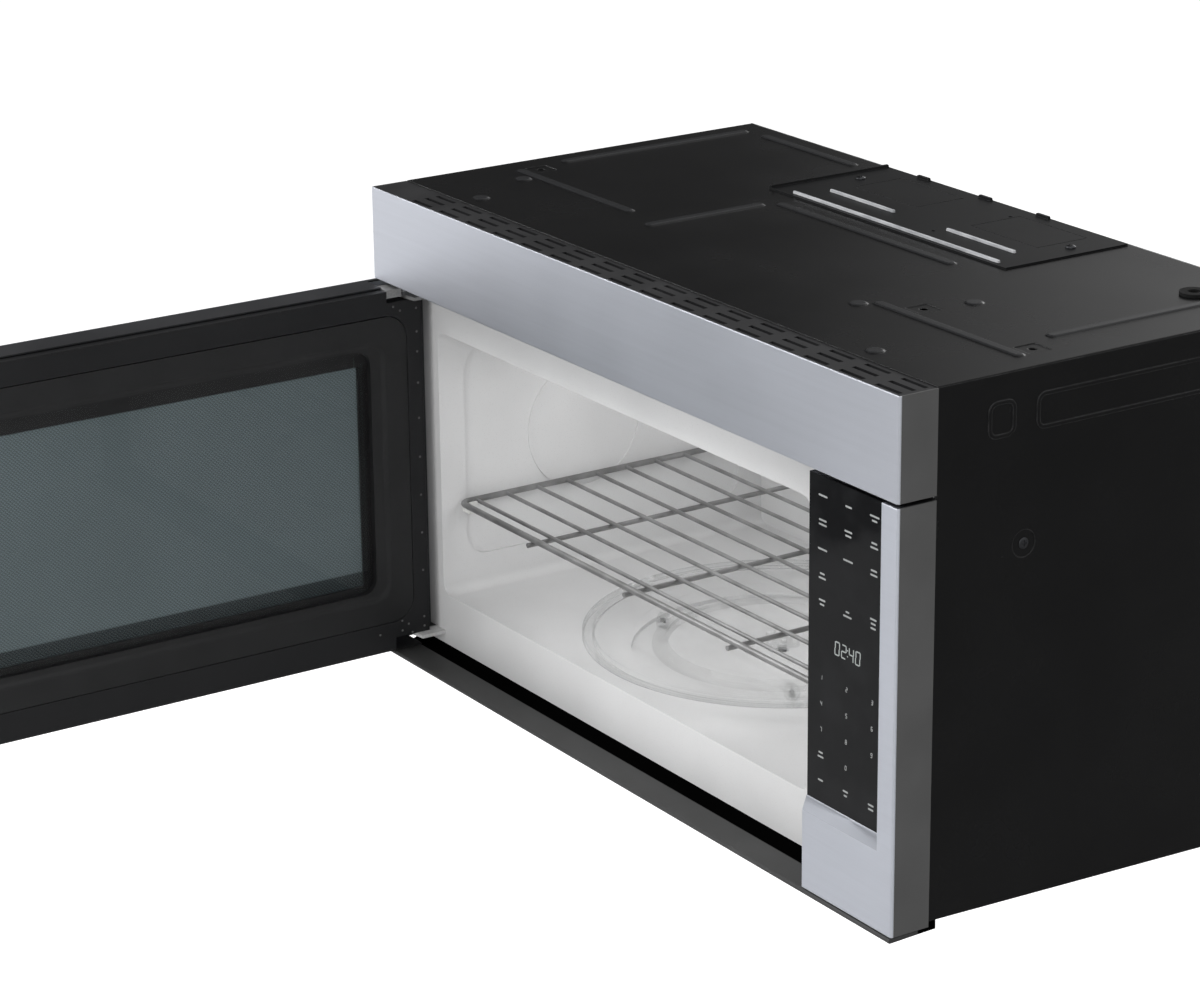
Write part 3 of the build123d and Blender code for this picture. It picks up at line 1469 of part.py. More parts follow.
# a switch behind each hook; the hook's point stops just short of its plunger
plunger_drops = [hook_drop + latch_hook_height for hook_drop in latch_hook_drops]
with BuildPart() as interlock_switches:
    with BuildSketch(front_plane(housing_back)):
        for plunger_drop in plunger_drops:
            with Locations((hook_across, plunger_drop)):
                Rectangle(switch_size[0], switch_size[2])
    extrude(amount=switch_size[1])
    with BuildSketch(front_plane(housing_back)):
        for plunger_drop in plunger_drops:
            disc(hook_across, plunger_drop, plunger_radius + plunger_gap)
    extrude(amount=plunger_seat + plunger_travel + plunger_gap, mode=Mode.SUBTRACT)
save(interlock_switches, "interlock_switches")

with BuildPart() as switch_plungers:
    with BuildSketch(front_plane(hook_end + seat_gap)):
        for plunger_drop in plunger_drops:
            disc(hook_across, plunger_drop, plunger_radius)
    extrude(amount=housing_back + plunger_seat - hook_end - seat_gap)
save(switch_plungers, "switch_plungers")

# ================================================================ component bay
with BuildPart() as component_tray:
    with BuildSketch(level_plane(tray_drop + tray_sheet)):
        between(bay_left, bay_right, cavity_front, rear_face)
    extrude(amount=tray_sheet)
save(component_tray, "component_tray")

with BuildPart() as waveguide:
    with BuildSketch(front_plane(waveguide_front)):
        between(
            bay_left, bay_left + waveguide_width,
            waveguide_top_drop, waveguide_top_drop + waveguide_height,
        )
    extrude(amount=waveguide_back - waveguide_front)
    with BuildSketch(front_plane(waveguide_front + waveguide_sheet)):
        between(
            bay_left, bay_left + waveguide_width - waveguide_sheet,
            waveguide_top_drop + waveguide_sheet,
            waveguide_top_drop + waveguide_height - waveguide_sheet,
        )
    extrude(amount=waveguide_back - waveguide_front - 2 * waveguide_sheet, mode=Mode.SUBTRACT)
    # hole for the antenna, in the half away from the oven's window
    antenna_y = waveguide_front + (waveguide_back - waveguide_front) * 0.75
    antenna_drop = waveguide_top_drop + waveguide_height / 2
    with BuildSketch(cross_plane(bay_left + waveguide_width)):
        disc(antenna_y, -antenna_drop, antenna_radius + antenna_gap)
    extrude(amount=-waveguide_sheet, mode=Mode.SUBTRACT)
save(waveguide, "waveguide")

magnetron_left = bay_left + waveguide_width
magnetron_front = antenna_y - magnetron_size[1] / 2
magnetron_top = antenna_drop - magnetron_size[2] / 2
with BuildPart() as magnetron:
    with BuildSketch(front_plane(magnetron_front)):
        between(
            magnetron_left, magnetron_left + magnetron_size[0],
            magnetron_top, magnetron_top + magnetron_size[2],
        )
        between(
            magnetron_left + magnetron_yoke, magnetron_left + magnetron_size[0] - magnetron_yoke,
            magnetron_top + magnetron_yoke, magnetron_top + magnetron_size[2] - magnetron_yoke,
            mode=Mode.SUBTRACT,
        )
    extrude(amount=magnetron_size[1])
    with BuildSketch(cross_plane(magnetron_left)):
        disc(antenna_y, -antenna_drop, magnetron_core_radius)
    extrude(amount=magnetron_size[0])
    fin_pitch = (magnetron_size[0] - 2 * magnetron_yoke) / (magnetron_fin_count + 1)
    for turn in range(magnetron_fin_count):
        fin_left = magnetron_left + magnetron_yoke + (turn + 1) * fin_pitch
        with BuildSketch(cross_plane(fin_left)):
            between(
                magnetron_front + magnetron_yoke, magnetron_front + magnetron_size[1] - magnetron_yoke,
                -magnetron_top, -magnetron_top - magnetron_size[2],
            )
        extrude(amount=magnetron_fin)
    with BuildSketch(cross_plane(magnetron_left)):
        disc(antenna_y, -antenna_drop, antenna_radius)
    extrude(amount=-antenna_length)
save(magnetron, "magnetron")

core_width, core_length, core_height = transformer_size
with BuildPart() as hv_transformer:
    with BuildSketch(front_plane(transformer_front)):
        with Locations((bay_middle, tray_drop - transformer_foot[2] - core_height / 2)):
            Rectangle(core_width, core_height)
    extrude(amount=core_length)
    # windings stand out at both ends of the core
    with BuildSketch(front_plane(transformer_front - winding_overhang)):
        with Locations((bay_middle, tray_drop - transformer_foot[2] - core_height / 2)):
            RectangleRounded(*winding_size, winding_corner)
    extrude(amount=core_length + 2 * winding_overhang)
    with BuildSketch(level_plane(tray_drop)):
        with Locations((bay_middle, transformer_front + core_length / 2)):
            Rectangle(transformer_foot[0], transformer_foot[1])
    extrude(amount=transformer_foot[2])
save(hv_transformer, "hv_transformer")

with BuildPart() as hv_capacitor:
    with BuildSketch(level_plane(tray_drop)):
        with Locations((bay_middle, capacitor_front + capacitor_size[1] / 2)):
            SlotOverall(capacitor_size[1], capacitor_size[0], rotation=90)
    extrude(amount=capacitor_size[2])
    with BuildSketch(level_plane(tray_drop - capacitor_size[2])):
        with Locations((bay_middle, capacitor_front + capacitor_size[1] / 2)):
            with GridLocations(0, terminal_spacing, 1, 2):
                Circle(terminal_radius)
    extrude(amount=terminal_height)
save(hv_capacitor, "hv_capacitor")

# ---------------------------------------------------------------- fan that cools the bay
fan_middle = (bay_middle, fan_drop)
with BuildPart() as cooling_fan_shroud:
    with BuildSketch(front_plane(fan_front)):
        between(bay_left, bay_right, fan_drop - shroud_size / 2, fan_drop + shroud_size / 2)
        disc(*fan_middle, fan_radius + fan_tip_gap, mode=Mode.SUBTRACT)
    extrude(amount=shroud_sheet)
    with BuildSketch(front_plane(fan_front)):
        disc(*fan_middle, fan_radius + fan_tip_gap + shroud_sheet)
        disc(*fan_middle, fan_radius + fan_tip_gap, mode=Mode.SUBTRACT)
    extrude(amount=shroud_lip)
save(cooling_fan_shroud, "cooling_fan_shroud")

fan_motor_front = fan_front + shroud_lip + fan_arm_sheet
with BuildPart() as cooling_fan_motor:
    # arms across the back of the shroud
    with BuildSketch(front_plane(fan_front + shroud_lip)):
        with Locations(fan_middle):
            with PolarLocations(0, 2, start_angle=45, angular_range=180):
                Rectangle(2 * (fan_radius + fan_tip_gap + shroud_sheet), fan_arm_width)
        disc(*fan_middle, fan_shaft_radius + shaft_running_gap, mode=Mode.SUBTRACT)
    extrude(amount=fan_arm_sheet)
    with BuildSketch(front_plane(fan_motor_front)):
        with Locations(fan_middle):
            Rectangle(fan_motor_size[0], fan_motor_size[2])
        disc(*fan_middle, fan_shaft_radius + shaft_running_gap, mode=Mode.SUBTRACT)
    extrude(amount=fan_motor_size[1])
save(cooling_fan_motor, "cooling_fan_motor")

blade_back = fan_front + shroud_lip - fan_tip_gap
with BuildPart() as cooling_fan_blades:
    with BuildSketch(front_plane(blade_back)):
        disc(*fan_middle, fan_hub_radius)
    extrude(amount=-fan_hub_length)
    with BuildSketch(front_plane(blade_back)):
        disc(*fan_middle, fan_shaft_radius)
    extrude(amount=fan_tip_gap + fan_arm_sheet + fan_motor_size[1] / 2)
    # pitched blades
    fan_centre = front_plane(blade_back - fan_hub_length / 2).from_local_coords((*fan_middle, 0))
    for turn in range(fan_blade_count):
        spin = math.radians(turn * 360 / fan_blade_count)
        reach = Vector(math.cos(spin), 0, math.sin(spin))
        round_way = Vector(-math.sin(spin), 0, math.cos(spin))
        pitch = math.radians(fan_blade_pitch)
        chord = round_way * math.cos(pitch) + Vector(0, math.sin(pitch), 0)
        root = fan_centre + reach * (fan_hub_radius - fan_blade_root)
        with BuildSketch(Plane(origin=root, x_dir=chord, z_dir=reach)):
            SlotOverall(fan_blade_chord, fan_blade_thickness)
        extrude(amount=fan_radius - fan_tip_gap - fan_hub_radius)
save(cooling_fan_blades, "cooling_fan_blades")

# ================================================================ blower above the cavity
blower_floor = cavity_top_drop - cavity_sheet
blower_base_top = blower_floor - blower_base_sheet
axle_drop = blower_base_top - scroll_radius
scroll_middles = (width / 2 - scroll_spacing / 2, width / 2 + scroll_spacing / 2)
outlet_top = axle_drop - scroll_radius


def scroll_profile(inset):
    """Side view of a blower housing: round behind, square outlet to the front."""
    disc(scroll_from_front, -axle_drop, scroll_radius - inset)
    between(
        blower_front - scroll_sheet + inset, scroll_from_front,
        -outlet_top - inset, -outlet_top - scroll_outlet_height + inset,
    )


with BuildPart() as blower_housing:
    for scroll_middle in scroll_middles:
        with BuildSketch(cross_plane(scroll_middle - scroll_width / 2)):
            scroll_profile(0)
            # foot between the round back and the base plate
            between(
                scroll_from_front - scroll_foot_length / 2, scroll_from_front + scroll_foot_length / 2,
                -axle_drop, -blower_base_top,
            )
        extrude(amount=scroll_width)
    with BuildSketch(level_plane(blower_floor)):
        between(
            scroll_middles[0] - scroll_width / 2, scroll_middles[1] + scroll_width / 2,
            blower_front, scroll_from_front + scroll_radius,
        )
    extrude(amount=blower_base_sheet)
    for scroll_middle in scroll_middles:
        with BuildSketch(cross_plane(scroll_middle - scroll_width / 2 + scroll_sheet)):
            scroll_profile(scroll_sheet)
            between(
                blower_front - 2 * scroll_sheet, blower_front + scroll_sheet,
                -outlet_top - scroll_sheet, -outlet_top - scroll_outlet_height + scroll_sheet,
            )
        extrude(amount=scroll_width - 2 * scroll_sheet, mode=Mode.SUBTRACT)
        with BuildSketch(cross_plane(scroll_middle - scroll_width / 2)):
            disc(scroll_from_front, -axle_drop, scroll_inlet_radius)
        extrude(amount=scroll_width, mode=Mode.SUBTRACT)
save(blower_housing, "blower_housing")

with BuildPart() as blower_motor:
    with BuildSketch(cross_plane(width / 2 - blower_motor_length / 2)):
        disc(scroll_from_front, -axle_drop, blower_motor_radius)
        disc(scroll_from_front, -axle_drop, blower_shaft_radius + shaft_running_gap, mode=Mode.SUBTRACT)
    extrude(amount=blower_motor_length)
    with BuildSketch(level_plane(blower_base_top)):
        with Locations((width / 2, scroll_from_front)):
            Rectangle(*blower_motor_foot)
    extrude(until=Until.NEXT)
save(blower_motor, "blower_motor")

rotor_length = scroll_spacing + blower_wheel_length
with BuildPart() as blower_rotor:
    with BuildSketch(cross_plane(width / 2 - rotor_length / 2)):
        disc(scroll_from_front, -axle_drop, blower_shaft_radius)
    extrude(amount=rotor_length)
    for scroll_middle in scroll_middles:
        with BuildSketch(cross_plane(scroll_middle - blower_blade)):
            disc(scroll_from_front, -axle_drop, blower_wheel_radius)
        extrude(amount=2 * blower_blade)
        with BuildSketch(cross_plane(scroll_middle - blower_hub_length / 2)):
            disc(scroll_from_front, -axle_drop, blower_hub_radius)
        extrude(amount=blower_hub_length)
        for rim_left in (
            scroll_middle - blower_wheel_length / 2,
            scroll_middle + blower_wheel_length / 2 - 2 * blower_blade,
        ):
            with BuildSketch(cross_plane(rim_left)):
                disc(scroll_from_front, -axle_drop, blower_wheel_radius)
                disc(
                    scroll_from_front, -axle_drop, blower_wheel_radius - blower_blade_depth,
                    mode=Mode.SUBTRACT,
                )
            extrude(amount=2 * blower_blade)
        with BuildSketch(cross_plane(scroll_middle - blower_wheel_length / 2)):
            with Locations((scroll_from_front, -axle_drop)):
                with PolarLocations(blower_wheel_radius - blower_blade_depth / 2, blower_blade_count):
                    Rectangle(blower_blade_depth - blower_blade, blower_blade, rotation=blower_blade_angle)
        extrude(amount=blower_wheel_length)
save(blower_rotor, "blower_rotor")

with BuildPart() as exhaust_cover:
    with BuildSketch(level_plane(-case_top)):
        between(cover_left, cover_left + cover_width, cover_front, cover_back)
    extrude(amount=cover_thickness)
    cover_top = case_top + cover_thickness
    with BuildSketch(level_plane(-cover_top)):
        for rib_left, rib_right, rib_back in cover_ribs:
            with Locations((cover_left + (rib_left + rib_right) / 2, cover_front + rib_back)):
                SlotOverall(rib_right - rib_left, cover_rib_width)
        # folded edge at the left, and the tabs at the back
        between(cover_left, cover_left + cover_rib_width, cover_front, cover_back)
        for tab_left in cover_tabs:
            between(
                cover_left + tab_left, cover_left + tab_left + cover_tab_width,
                cover_back - cover_rib_width, cover_back,
            )
    extrude(amount=cover_rib_height, taper=cover_rib_taper)
    with BuildSketch(level_plane(-cover_top)):
        for knockout_left in knockout_lefts:
            knockout_middle = cover_left + knockout_left + knockout_size[0] / 2
            with Locations((knockout_middle, cover_front + knockout_from_front)):
                Rectangle(*knockout_size)
                Rectangle(
                    knockout_size[0] - 2 * knockout_groove, knockout_size[1] - 2 * knockout_groove,
                    mode=Mode.SUBTRACT,
                )
    extrude(amount=-knockout_groove_depth, mode=Mode.SUBTRACT)
    with BuildSketch(level_plane(-cover_top)):
        for hole_left, hole_back in cover_holes:
            disc(cover_left + hole_left, cover_front + hole_back, cover_hole_radius)
    extrude(amount=-cover_thickness, mode=Mode.SUBTRACT)
save(exhaust_cover, "exhaust_cover")

# ================================================================ small parts
with BuildPart() as cord_grommet:
    body_radius = grommet_hole_radius - grommet_groove
    body_height = case_sheet + 2 * grommet_groove
    for disc_drop, disc_height, disc_radius in (
        (-case_top, grommet_flange, grommet_flange_radius),
        (case_sheet + grommet_groove - case_top, case_sheet + grommet_groove, body_radius),
        (case_sheet + grommet_groove + grommet_flange - case_top, grommet_flange, grommet_flange_radius),
    ):
        with BuildSketch(level_plane(disc_drop)):
            disc(*grommet_spot, disc_radius)
        extrude(amount=disc_height)
    with BuildSketch(level_plane(case_sheet + grommet_groove + grommet_flange - case_top)):
        disc(*grommet_spot, grommet_bore)
    extrude(amount=body_height + 2 * grommet_flange, mode=Mode.SUBTRACT)
save(cord_grommet, "cord_grommet")

with BuildPart() as case_screws:
    with BuildSketch(level_plane(-cover_top)):
        for screw_left, screw_back in cover_screws:
            disc(cover_left + screw_left, cover_front + screw_back, screw_head_radius)
    extrude(amount=screw_head_height)
    for side_x, outward in ((case_left, -1), (case_right, 1)):
        with BuildSketch(cross_plane(side_x - outward * side_screw_well_depth)):
            disc(side_screw[0], -side_screw[1], screw_head_radius)
        extrude(amount=outward * side_screw_proud)
save(case_screws, "case_screws")
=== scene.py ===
"""Over the range microwave: materials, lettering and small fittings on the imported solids.

Places are given as the part's source gives them, in millimetres from the left end (across),
from the front (back) and below the top edge (drop). The door is open by 90 degrees.
"""

import math

import bmesh
import bpy
from mathutils import Matrix, Vector


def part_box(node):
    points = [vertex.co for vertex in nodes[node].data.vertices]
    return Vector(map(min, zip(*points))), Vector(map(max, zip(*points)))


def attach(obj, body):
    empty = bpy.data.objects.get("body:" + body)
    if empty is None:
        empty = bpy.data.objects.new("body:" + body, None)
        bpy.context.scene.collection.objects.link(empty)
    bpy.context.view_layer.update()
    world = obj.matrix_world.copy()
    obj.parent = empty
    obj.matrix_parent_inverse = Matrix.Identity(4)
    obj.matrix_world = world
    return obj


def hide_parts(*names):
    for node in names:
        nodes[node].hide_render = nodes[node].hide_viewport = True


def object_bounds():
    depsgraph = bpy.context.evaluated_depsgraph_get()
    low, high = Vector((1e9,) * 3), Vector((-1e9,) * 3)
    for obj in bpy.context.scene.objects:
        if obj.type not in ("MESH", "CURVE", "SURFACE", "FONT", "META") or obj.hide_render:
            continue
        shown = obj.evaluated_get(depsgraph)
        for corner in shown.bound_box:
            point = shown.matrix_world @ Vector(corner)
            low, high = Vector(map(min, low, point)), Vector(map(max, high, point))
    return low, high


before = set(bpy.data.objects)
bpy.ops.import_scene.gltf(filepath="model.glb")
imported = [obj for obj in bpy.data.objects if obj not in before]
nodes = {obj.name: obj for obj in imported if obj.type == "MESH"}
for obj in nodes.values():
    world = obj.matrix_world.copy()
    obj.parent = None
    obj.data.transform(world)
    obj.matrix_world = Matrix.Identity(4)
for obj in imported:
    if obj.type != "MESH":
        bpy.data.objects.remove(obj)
cad_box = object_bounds()

MM = 0.001
fascia_low, fascia_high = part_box("top_fascia")
LEFT, FRONT, TOP = fascia_low.x, fascia_low.y, fascia_high.z


def at(across, back, drop):
    """A place on the part, in metres."""
    return Vector((LEFT + across * MM, FRONT + back * MM, TOP - drop * MM))


def give(tree, target, value):
    """Sets an input to a constant, or links a node's output to it."""
    if isinstance(value, bpy.types.NodeSocket):
        tree.links.new(value, target)
    else:
        target.default_value = value


def add_node(tree, kind, inputs=None, **settings):
    """A new node in a shader tree, with its settings, and its inputs as constants or links."""
    node = tree.nodes.new(kind)
    for setting, value in settings.items():
        setattr(node, setting, value)
    for socket, value in (inputs or {}).items():
        give(tree, node.inputs[socket], value)
    return node


# ---------------------------------------------------------------- materials
EDGE_RADIUS = 0.6 * MM          # within which an edge gets its wear and its painted highlight
EDGE_SAMPLES = 4
BRUSH_LINE = 0.6 * MM
BRUSH_STRETCH = 60.0            # how much longer a brush line is than wide
ORANGE_PEEL = 0.9 * MM


def from_screen(red, green, blue):
    """A linear colour from screen values of 0 to 255."""
    levels = [value / 255 for value in (red, green, blue)]
    return tuple(v / 12.92 if v <= 0.04045 else ((v + 0.055) / 1.055) ** 2.4 for v in levels)


class Look:
    """One material on a Principled shader, with short ways to add its detail."""

    def __init__(self, name, colour, roughness, metallic=0.0, **constants):
        self.material = bpy.data.materials.new(name)
        self.material.use_nodes = True
        self.tree = self.material.node_tree
        self.shader = self.tree.nodes["Principled BSDF"]
        self.set("Base Color", (*colour, 1.0))
        self.set("Roughness", roughness)
        self.set("Metallic", metallic)
        for socket, value in constants.items():
            self.set(socket.replace("_", " "), value)
        self.place = self.add("ShaderNodeTexCoord").outputs["Object"]
        self.normal = None

    def set(self, socket, value):
        """Sets one of the shader's inputs to a constant or a link."""
        give(self.tree, self.shader.inputs[socket], value)

    def add(self, kind, inputs=None, **settings):
        """A new node with its settings and inputs."""
        return add_node(self.tree, kind, inputs, **settings)

    def scaled(self, stretch, turn=(0.0, 0.0, 0.0)):
        """The object's own coordinates, stretched and turned."""
        mapping = self.add("ShaderNodeMapping", {"Vector": self.place})
        mapping.inputs["Scale"].default_value = stretch
        mapping.inputs["Rotation"].default_value = turn
        return mapping.outputs["Vector"]

    def noise(self, size, detail, stretch=(1.0, 1.0, 1.0)):
        """Noise with features of a size in metres, drawn out along any axis."""
        scale = tuple(1.0 / (size * factor) for factor in stretch)
        inputs = {"Vector": self.scaled(scale), "Scale": 1.0, "Detail": detail}
        return self.add("ShaderNodeTexNoise", inputs).outputs["Fac"]

    def cells(self, size, feature="F1", output="Distance", stretch=(1.0, 1.0, 1.0)):
        """Cells of a size in metres."""
        scale = tuple(1.0 / (size * factor) for factor in stretch)
        inputs = {"Vector": self.scaled(scale), "Scale": 1.0}
        return self.add("ShaderNodeTexVoronoi", inputs, feature=feature).outputs[output]

    def step(self, operation, first, second=0.0):
        """One step of arithmetic."""
        return self.add("ShaderNodeMath", {0: first, 1: second}, operation=operation).outputs[0]

    def fit(self, value, low, high, to_low=0.0, to_high=1.0):
        """Carries a value from one range to another."""
        inputs = {"Value": value, "From Min": low, "From Max": high}
        inputs.update({"To Min": to_low, "To Max": to_high})
        return self.add("ShaderNodeMapRange", inputs).outputs["Result"]

    def blend(self, share, low, high):
        """A colour between two, by a share of 0 to 1."""
        node = self.add("ShaderNodeMix", data_type="RGBA")
        for index, value in ((0, share), (6, low), (7, high)):
            filled = (*value, 1.0) if isinstance(value, tuple) else value
            give(self.tree, node.inputs[index], filled)
        return node.outputs[2]

    def axis(self, letter):
        """One of the object's own coordinates."""
        return self.add("ShaderNodeSeparateXYZ", {"Vector": self.place}).outputs[letter]

    def bump(self, height, depth, strength):
        """Shades the surface as if raised by a depth in metres where height is 1."""
        inputs = {"Height": height, "Distance": depth, "Strength": strength}
        if self.normal is not None:
            inputs["Normal"] = self.normal
        self.normal = self.add("ShaderNodeBump", inputs).outputs["Normal"]
        self.set("Normal", self.normal)

    def round_edges(self, radius):
        """Lets the surface turn its corners softly, so that they catch the light."""
        self.normal = self.add("ShaderNodeBevel", {"Radius": radius}, samples=EDGE_SAMPLES).outputs["Normal"]

    def edges(self, radius):
        """Where the surface turns a corner, 1 on the edge and 0 on the flat."""
        rounded = self.add("ShaderNodeBevel", {"Radius": radius}, samples=EDGE_SAMPLES).outputs["Normal"]
        plain = self.add("ShaderNodeNewGeometry").outputs["Normal"]
        inputs = {0: rounded, 1: plain}
        straight = self.add("ShaderNodeVectorMath", inputs, operation="DOT_PRODUCT").outputs["Value"]
        return self.fit(straight, 1.0, 0.85)


def brushed_steel(name, grain, colour=(0.60, 0.62, 0.675), roughness=0.46, slope_shade=1.0):
    """Stainless steel with brush lines along the grain, an (x, y, z) stretch, and faint smears.

    Faces that lean upward keep only slope_shade of the colour, as painted shade.
    """
    look = Look(name, colour, roughness, 1.0, Anisotropic=0.6, Anisotropic_Rotation=0.25)
    lines = look.noise(BRUSH_LINE, 3.0, grain)
    broad = look.noise(0.004, 2.0, grain)
    smears = look.noise(0.12, 3.0)
    tone = look.fit(look.step("ADD", lines, broad), 0.6, 1.4, 0.0, 1.0)
    dark = tuple(value * 0.975 for value in colour)
    light = tuple(min(1.0, value * 1.025) for value in colour)
    # lighter edges: partly wear, partly a painted highlight
    worn_and_highlit_edges = look.blend(look.edges(EDGE_RADIUS), look.blend(tone, dark, light), (0.80, 0.82, 0.86))
    face = look.add("ShaderNodeNewGeometry").outputs["Normal"]
    rise = look.add("ShaderNodeSeparateXYZ", {"Vector": face}).outputs["Z"]
    # painted shade on faces that lean upward
    shaded = tuple(value * slope_shade for value in colour)
    look.set("Base Color", look.blend(look.fit(rise, 0.15, 0.40), worn_and_highlit_edges, shaded))
    line_rough = look.fit(lines, 0.3, 0.7, -0.012, 0.012)
    smear_rough = look.fit(smears, 0.35, 0.65, -0.01, 0.015)
    rough = look.step("ADD", line_rough, smear_rough)
    look.set("Roughness", look.step("ADD", rough, roughness))
    look.round_edges(0.0012)
    look.bump(lines, 0.000008, 0.15)
    return look.material


def sprayed_metal(name, colour, roughness, sheen_level, edge_colour, highlight_above=None):
    """Sprayed steel: fine orange peel, dust, lighter edges from wear and a painted highlight, and a painted
    highlight on forms above a height.
    """
    look = Look(name, colour, roughness, Specular_IOR_Level=sheen_level)
    grain = look.noise(ORANGE_PEEL, 2.0)
    patches = look.noise(0.09, 4.0)
    lighter = tuple(value * 1.15 + 0.001 for value in colour)
    painted = look.blend(look.fit(patches, 0.35, 0.7), colour, lighter)
    if highlight_above is not None:
        # painted highlight on the forms that stand above this height
        raised = look.fit(look.axis("Z"), highlight_above, highlight_above + 0.0004)
        painted = look.blend(raised, painted, RIB_HIGHLIGHT_BLACK)
    uneven = look.fit(look.noise(0.012, 3.0), 0.35, 0.65, 0.35, 1.0)
    # lighter edges: partly wear, partly a painted highlight
    edge_wear_and_highlight = look.step("MULTIPLY", look.edges(EDGE_RADIUS), uneven)
    look.set("Base Color", look.blend(edge_wear_and_highlight, painted, edge_colour))
    look.set("Roughness", look.fit(patches, 0.3, 0.7, roughness - 0.03, roughness + 0.04))
    look.round_edges(0.0016)
    look.bump(grain, 0.00003, 0.4)
    return look.material


def moulded_plastic(name, colour, roughness):
    """Moulded plastic with a fine spark-eroded texture."""
    look = Look(name, colour, roughness, Specular_IOR_Level=0.35)
    grain = look.noise(0.0005, 3.0)
    patches = look.noise(0.05, 3.0)
    lighter = tuple(min(1.0, value * 1.18 + 0.002) for value in colour)
    look.set("Base Color", look.blend(look.fit(patches, 0.3, 0.7), colour, lighter))
    look.set("Roughness", look.fit(patches, 0.3, 0.7, roughness - 0.05, roughness + 0.07))
    look.bump(grain, 0.00003, 0.5)
    return look.material


def enamel(name):
    """Light grey baked enamel with a fine speckle and a wavy gloss."""
    look = Look(name, (0.66, 0.66, 0.66), 0.34, Specular_IOR_Level=0.45)
    specks = look.cells(0.0016)
    clouds = look.noise(0.14, 3.0)
    base = look.blend(look.fit(clouds, 0.35, 0.65), (0.64, 0.64, 0.642), (0.71, 0.71, 0.712))
    look.set("Base Color", look.blend(look.fit(specks, 0.16, 0.08), base, (0.50, 0.50, 0.50)))
    look.set("Roughness", look.fit(clouds, 0.3, 0.7, 0.28, 0.42))
    look.bump(look.noise(0.0022, 2.0), 0.00006, 0.35)
    return look.material


def bare_metal(name, colour, roughness, spangle):
    """Zinc-coated sheet with crystals, or cast metal where the crystals are small."""
    look = Look(name, colour, roughness, 1.0)
    crystals = look.cells(spangle, output="Color")
    shade = look.add("ShaderNodeSeparateColor", {"Color": crystals}).outputs[0]
    dark = tuple(value * 0.80 for value in colour)
    light = tuple(min(1.0, value * 1.12) for value in colour)
    look.set("Base Color", look.blend(shade, dark, light))
    look.set("Roughness", look.fit(shade, 0.0, 1.0, roughness - 0.06, roughness + 0.10))
    look.bump(look.noise(0.0008, 3.0), 0.00003, 0.5)
    return look.material


def drawn_wire(name):
    """Dull drawn steel wire, darkened by heat in places."""
    look = Look(name, (0.26, 0.26, 0.258), 0.45, 0.5)
    heat = look.noise(0.03, 3.0)
    look.set("Base Color", look.blend(look.fit(heat, 0.35, 0.65), (0.20, 0.20, 0.198), (0.31, 0.31, 0.31)))
    look.set("Roughness", look.fit(look.noise(0.001, 2.0), 0.3, 0.7, 0.38, 0.50))
    look.bump(look.noise(0.0007, 2.0), 0.00003, 0.5)
    return look.material


def clear_glass(name, colour, roughness, waves, presence=0.45):
    """Glass or clear plastic with faint waves; the rest of the light goes straight through."""
    look = Look(name, colour, roughness, Transmission_Weight=1.0, IOR=1.46, Alpha=presence)
    look.set("Roughness", look.fit(look.noise(0.05, 3.0), 0.35, 0.7, roughness, roughness + 0.05))
    look.bump(look.noise(waves, 2.0), 0.00006, 0.5)
    return look.material


def rimmed_glass(name):
    """The turntable tray: clear glass whose rim shows as two denser rings, darkened as painted shade."""
    clear = (0.97, 0.985, 0.98)
    rim_edge, rim_foot = 0.8 * MM, 9.5 * MM        # inward from the tray's edge
    look = Look(name, clear, 0.02, Transmission_Weight=1.0, IOR=1.46)
    low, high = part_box("glass_tray")
    middle = (low + high) / 2
    east = look.step("SUBTRACT", look.axis("X"), middle.x)
    north = look.step("SUBTRACT", look.axis("Y"), middle.y)
    squares = look.step("ADD", look.step("MULTIPLY", east, east), look.step("MULTIPLY", north, north))
    radius = look.step("SQRT", squares)
    edge = (high.x - low.x) / 2
    rings = 0.0
    for ring in (edge - rim_edge, edge - rim_foot):
        distance = look.step("ABSOLUTE", look.step("SUBTRACT", radius, ring))
        rings = look.step("MAXIMUM", rings, look.fit(distance, 0.0018, 0.0005))
    band = look.fit(radius, edge - rim_foot - 0.0005, edge - rim_foot + 0.0003, 0.12, 0.26)
    look.set("Alpha", look.step("MAXIMUM", band, look.step("MULTIPLY", rings, 0.6)))
    # painted shade: the two rings at the rim's bends are darker
    look.set("Base Color", look.blend(rings, clear, (0.55, 0.57, 0.57)))
    look.set("Roughness", look.fit(look.noise(0.05, 3.0), 0.35, 0.7, 0.01, 0.06))
    look.bump(look.noise(0.02, 2.0), 0.00006, 0.5)
    return look.material


def two_toned_trim(name):
    """The trim under the door: a dark grey step, and behind it a slope painted black as painted shade."""
    look = Look(name, (0.05, 0.05, 0.05), 0.5, Specular_IOR_Level=0.15)
    step_depth = 26.6 * MM
    slope_start = FRONT + step_depth
    back = look.fit(look.axis("Y"), slope_start, slope_start + 0.0008)
    patches = look.fit(look.noise(0.07, 3.0), 0.35, 0.7)
    step = look.blend(patches, (0.050, 0.050, 0.050), (0.060, 0.060, 0.060))
    # painted shade: the slope behind the step is black
    look.set("Base Color", look.blend(back, step, (0.0012, 0.0012, 0.0012)))
    look.set("Specular IOR Level", look.fit(back, 0.0, 1.0, 0.15, 0.0))
    look.set("Roughness", look.fit(back, 0.0, 1.0, 0.5, 0.9))
    look.bump(look.noise(ORANGE_PEEL, 2.0), 0.00003, 0.4)
    return look.material


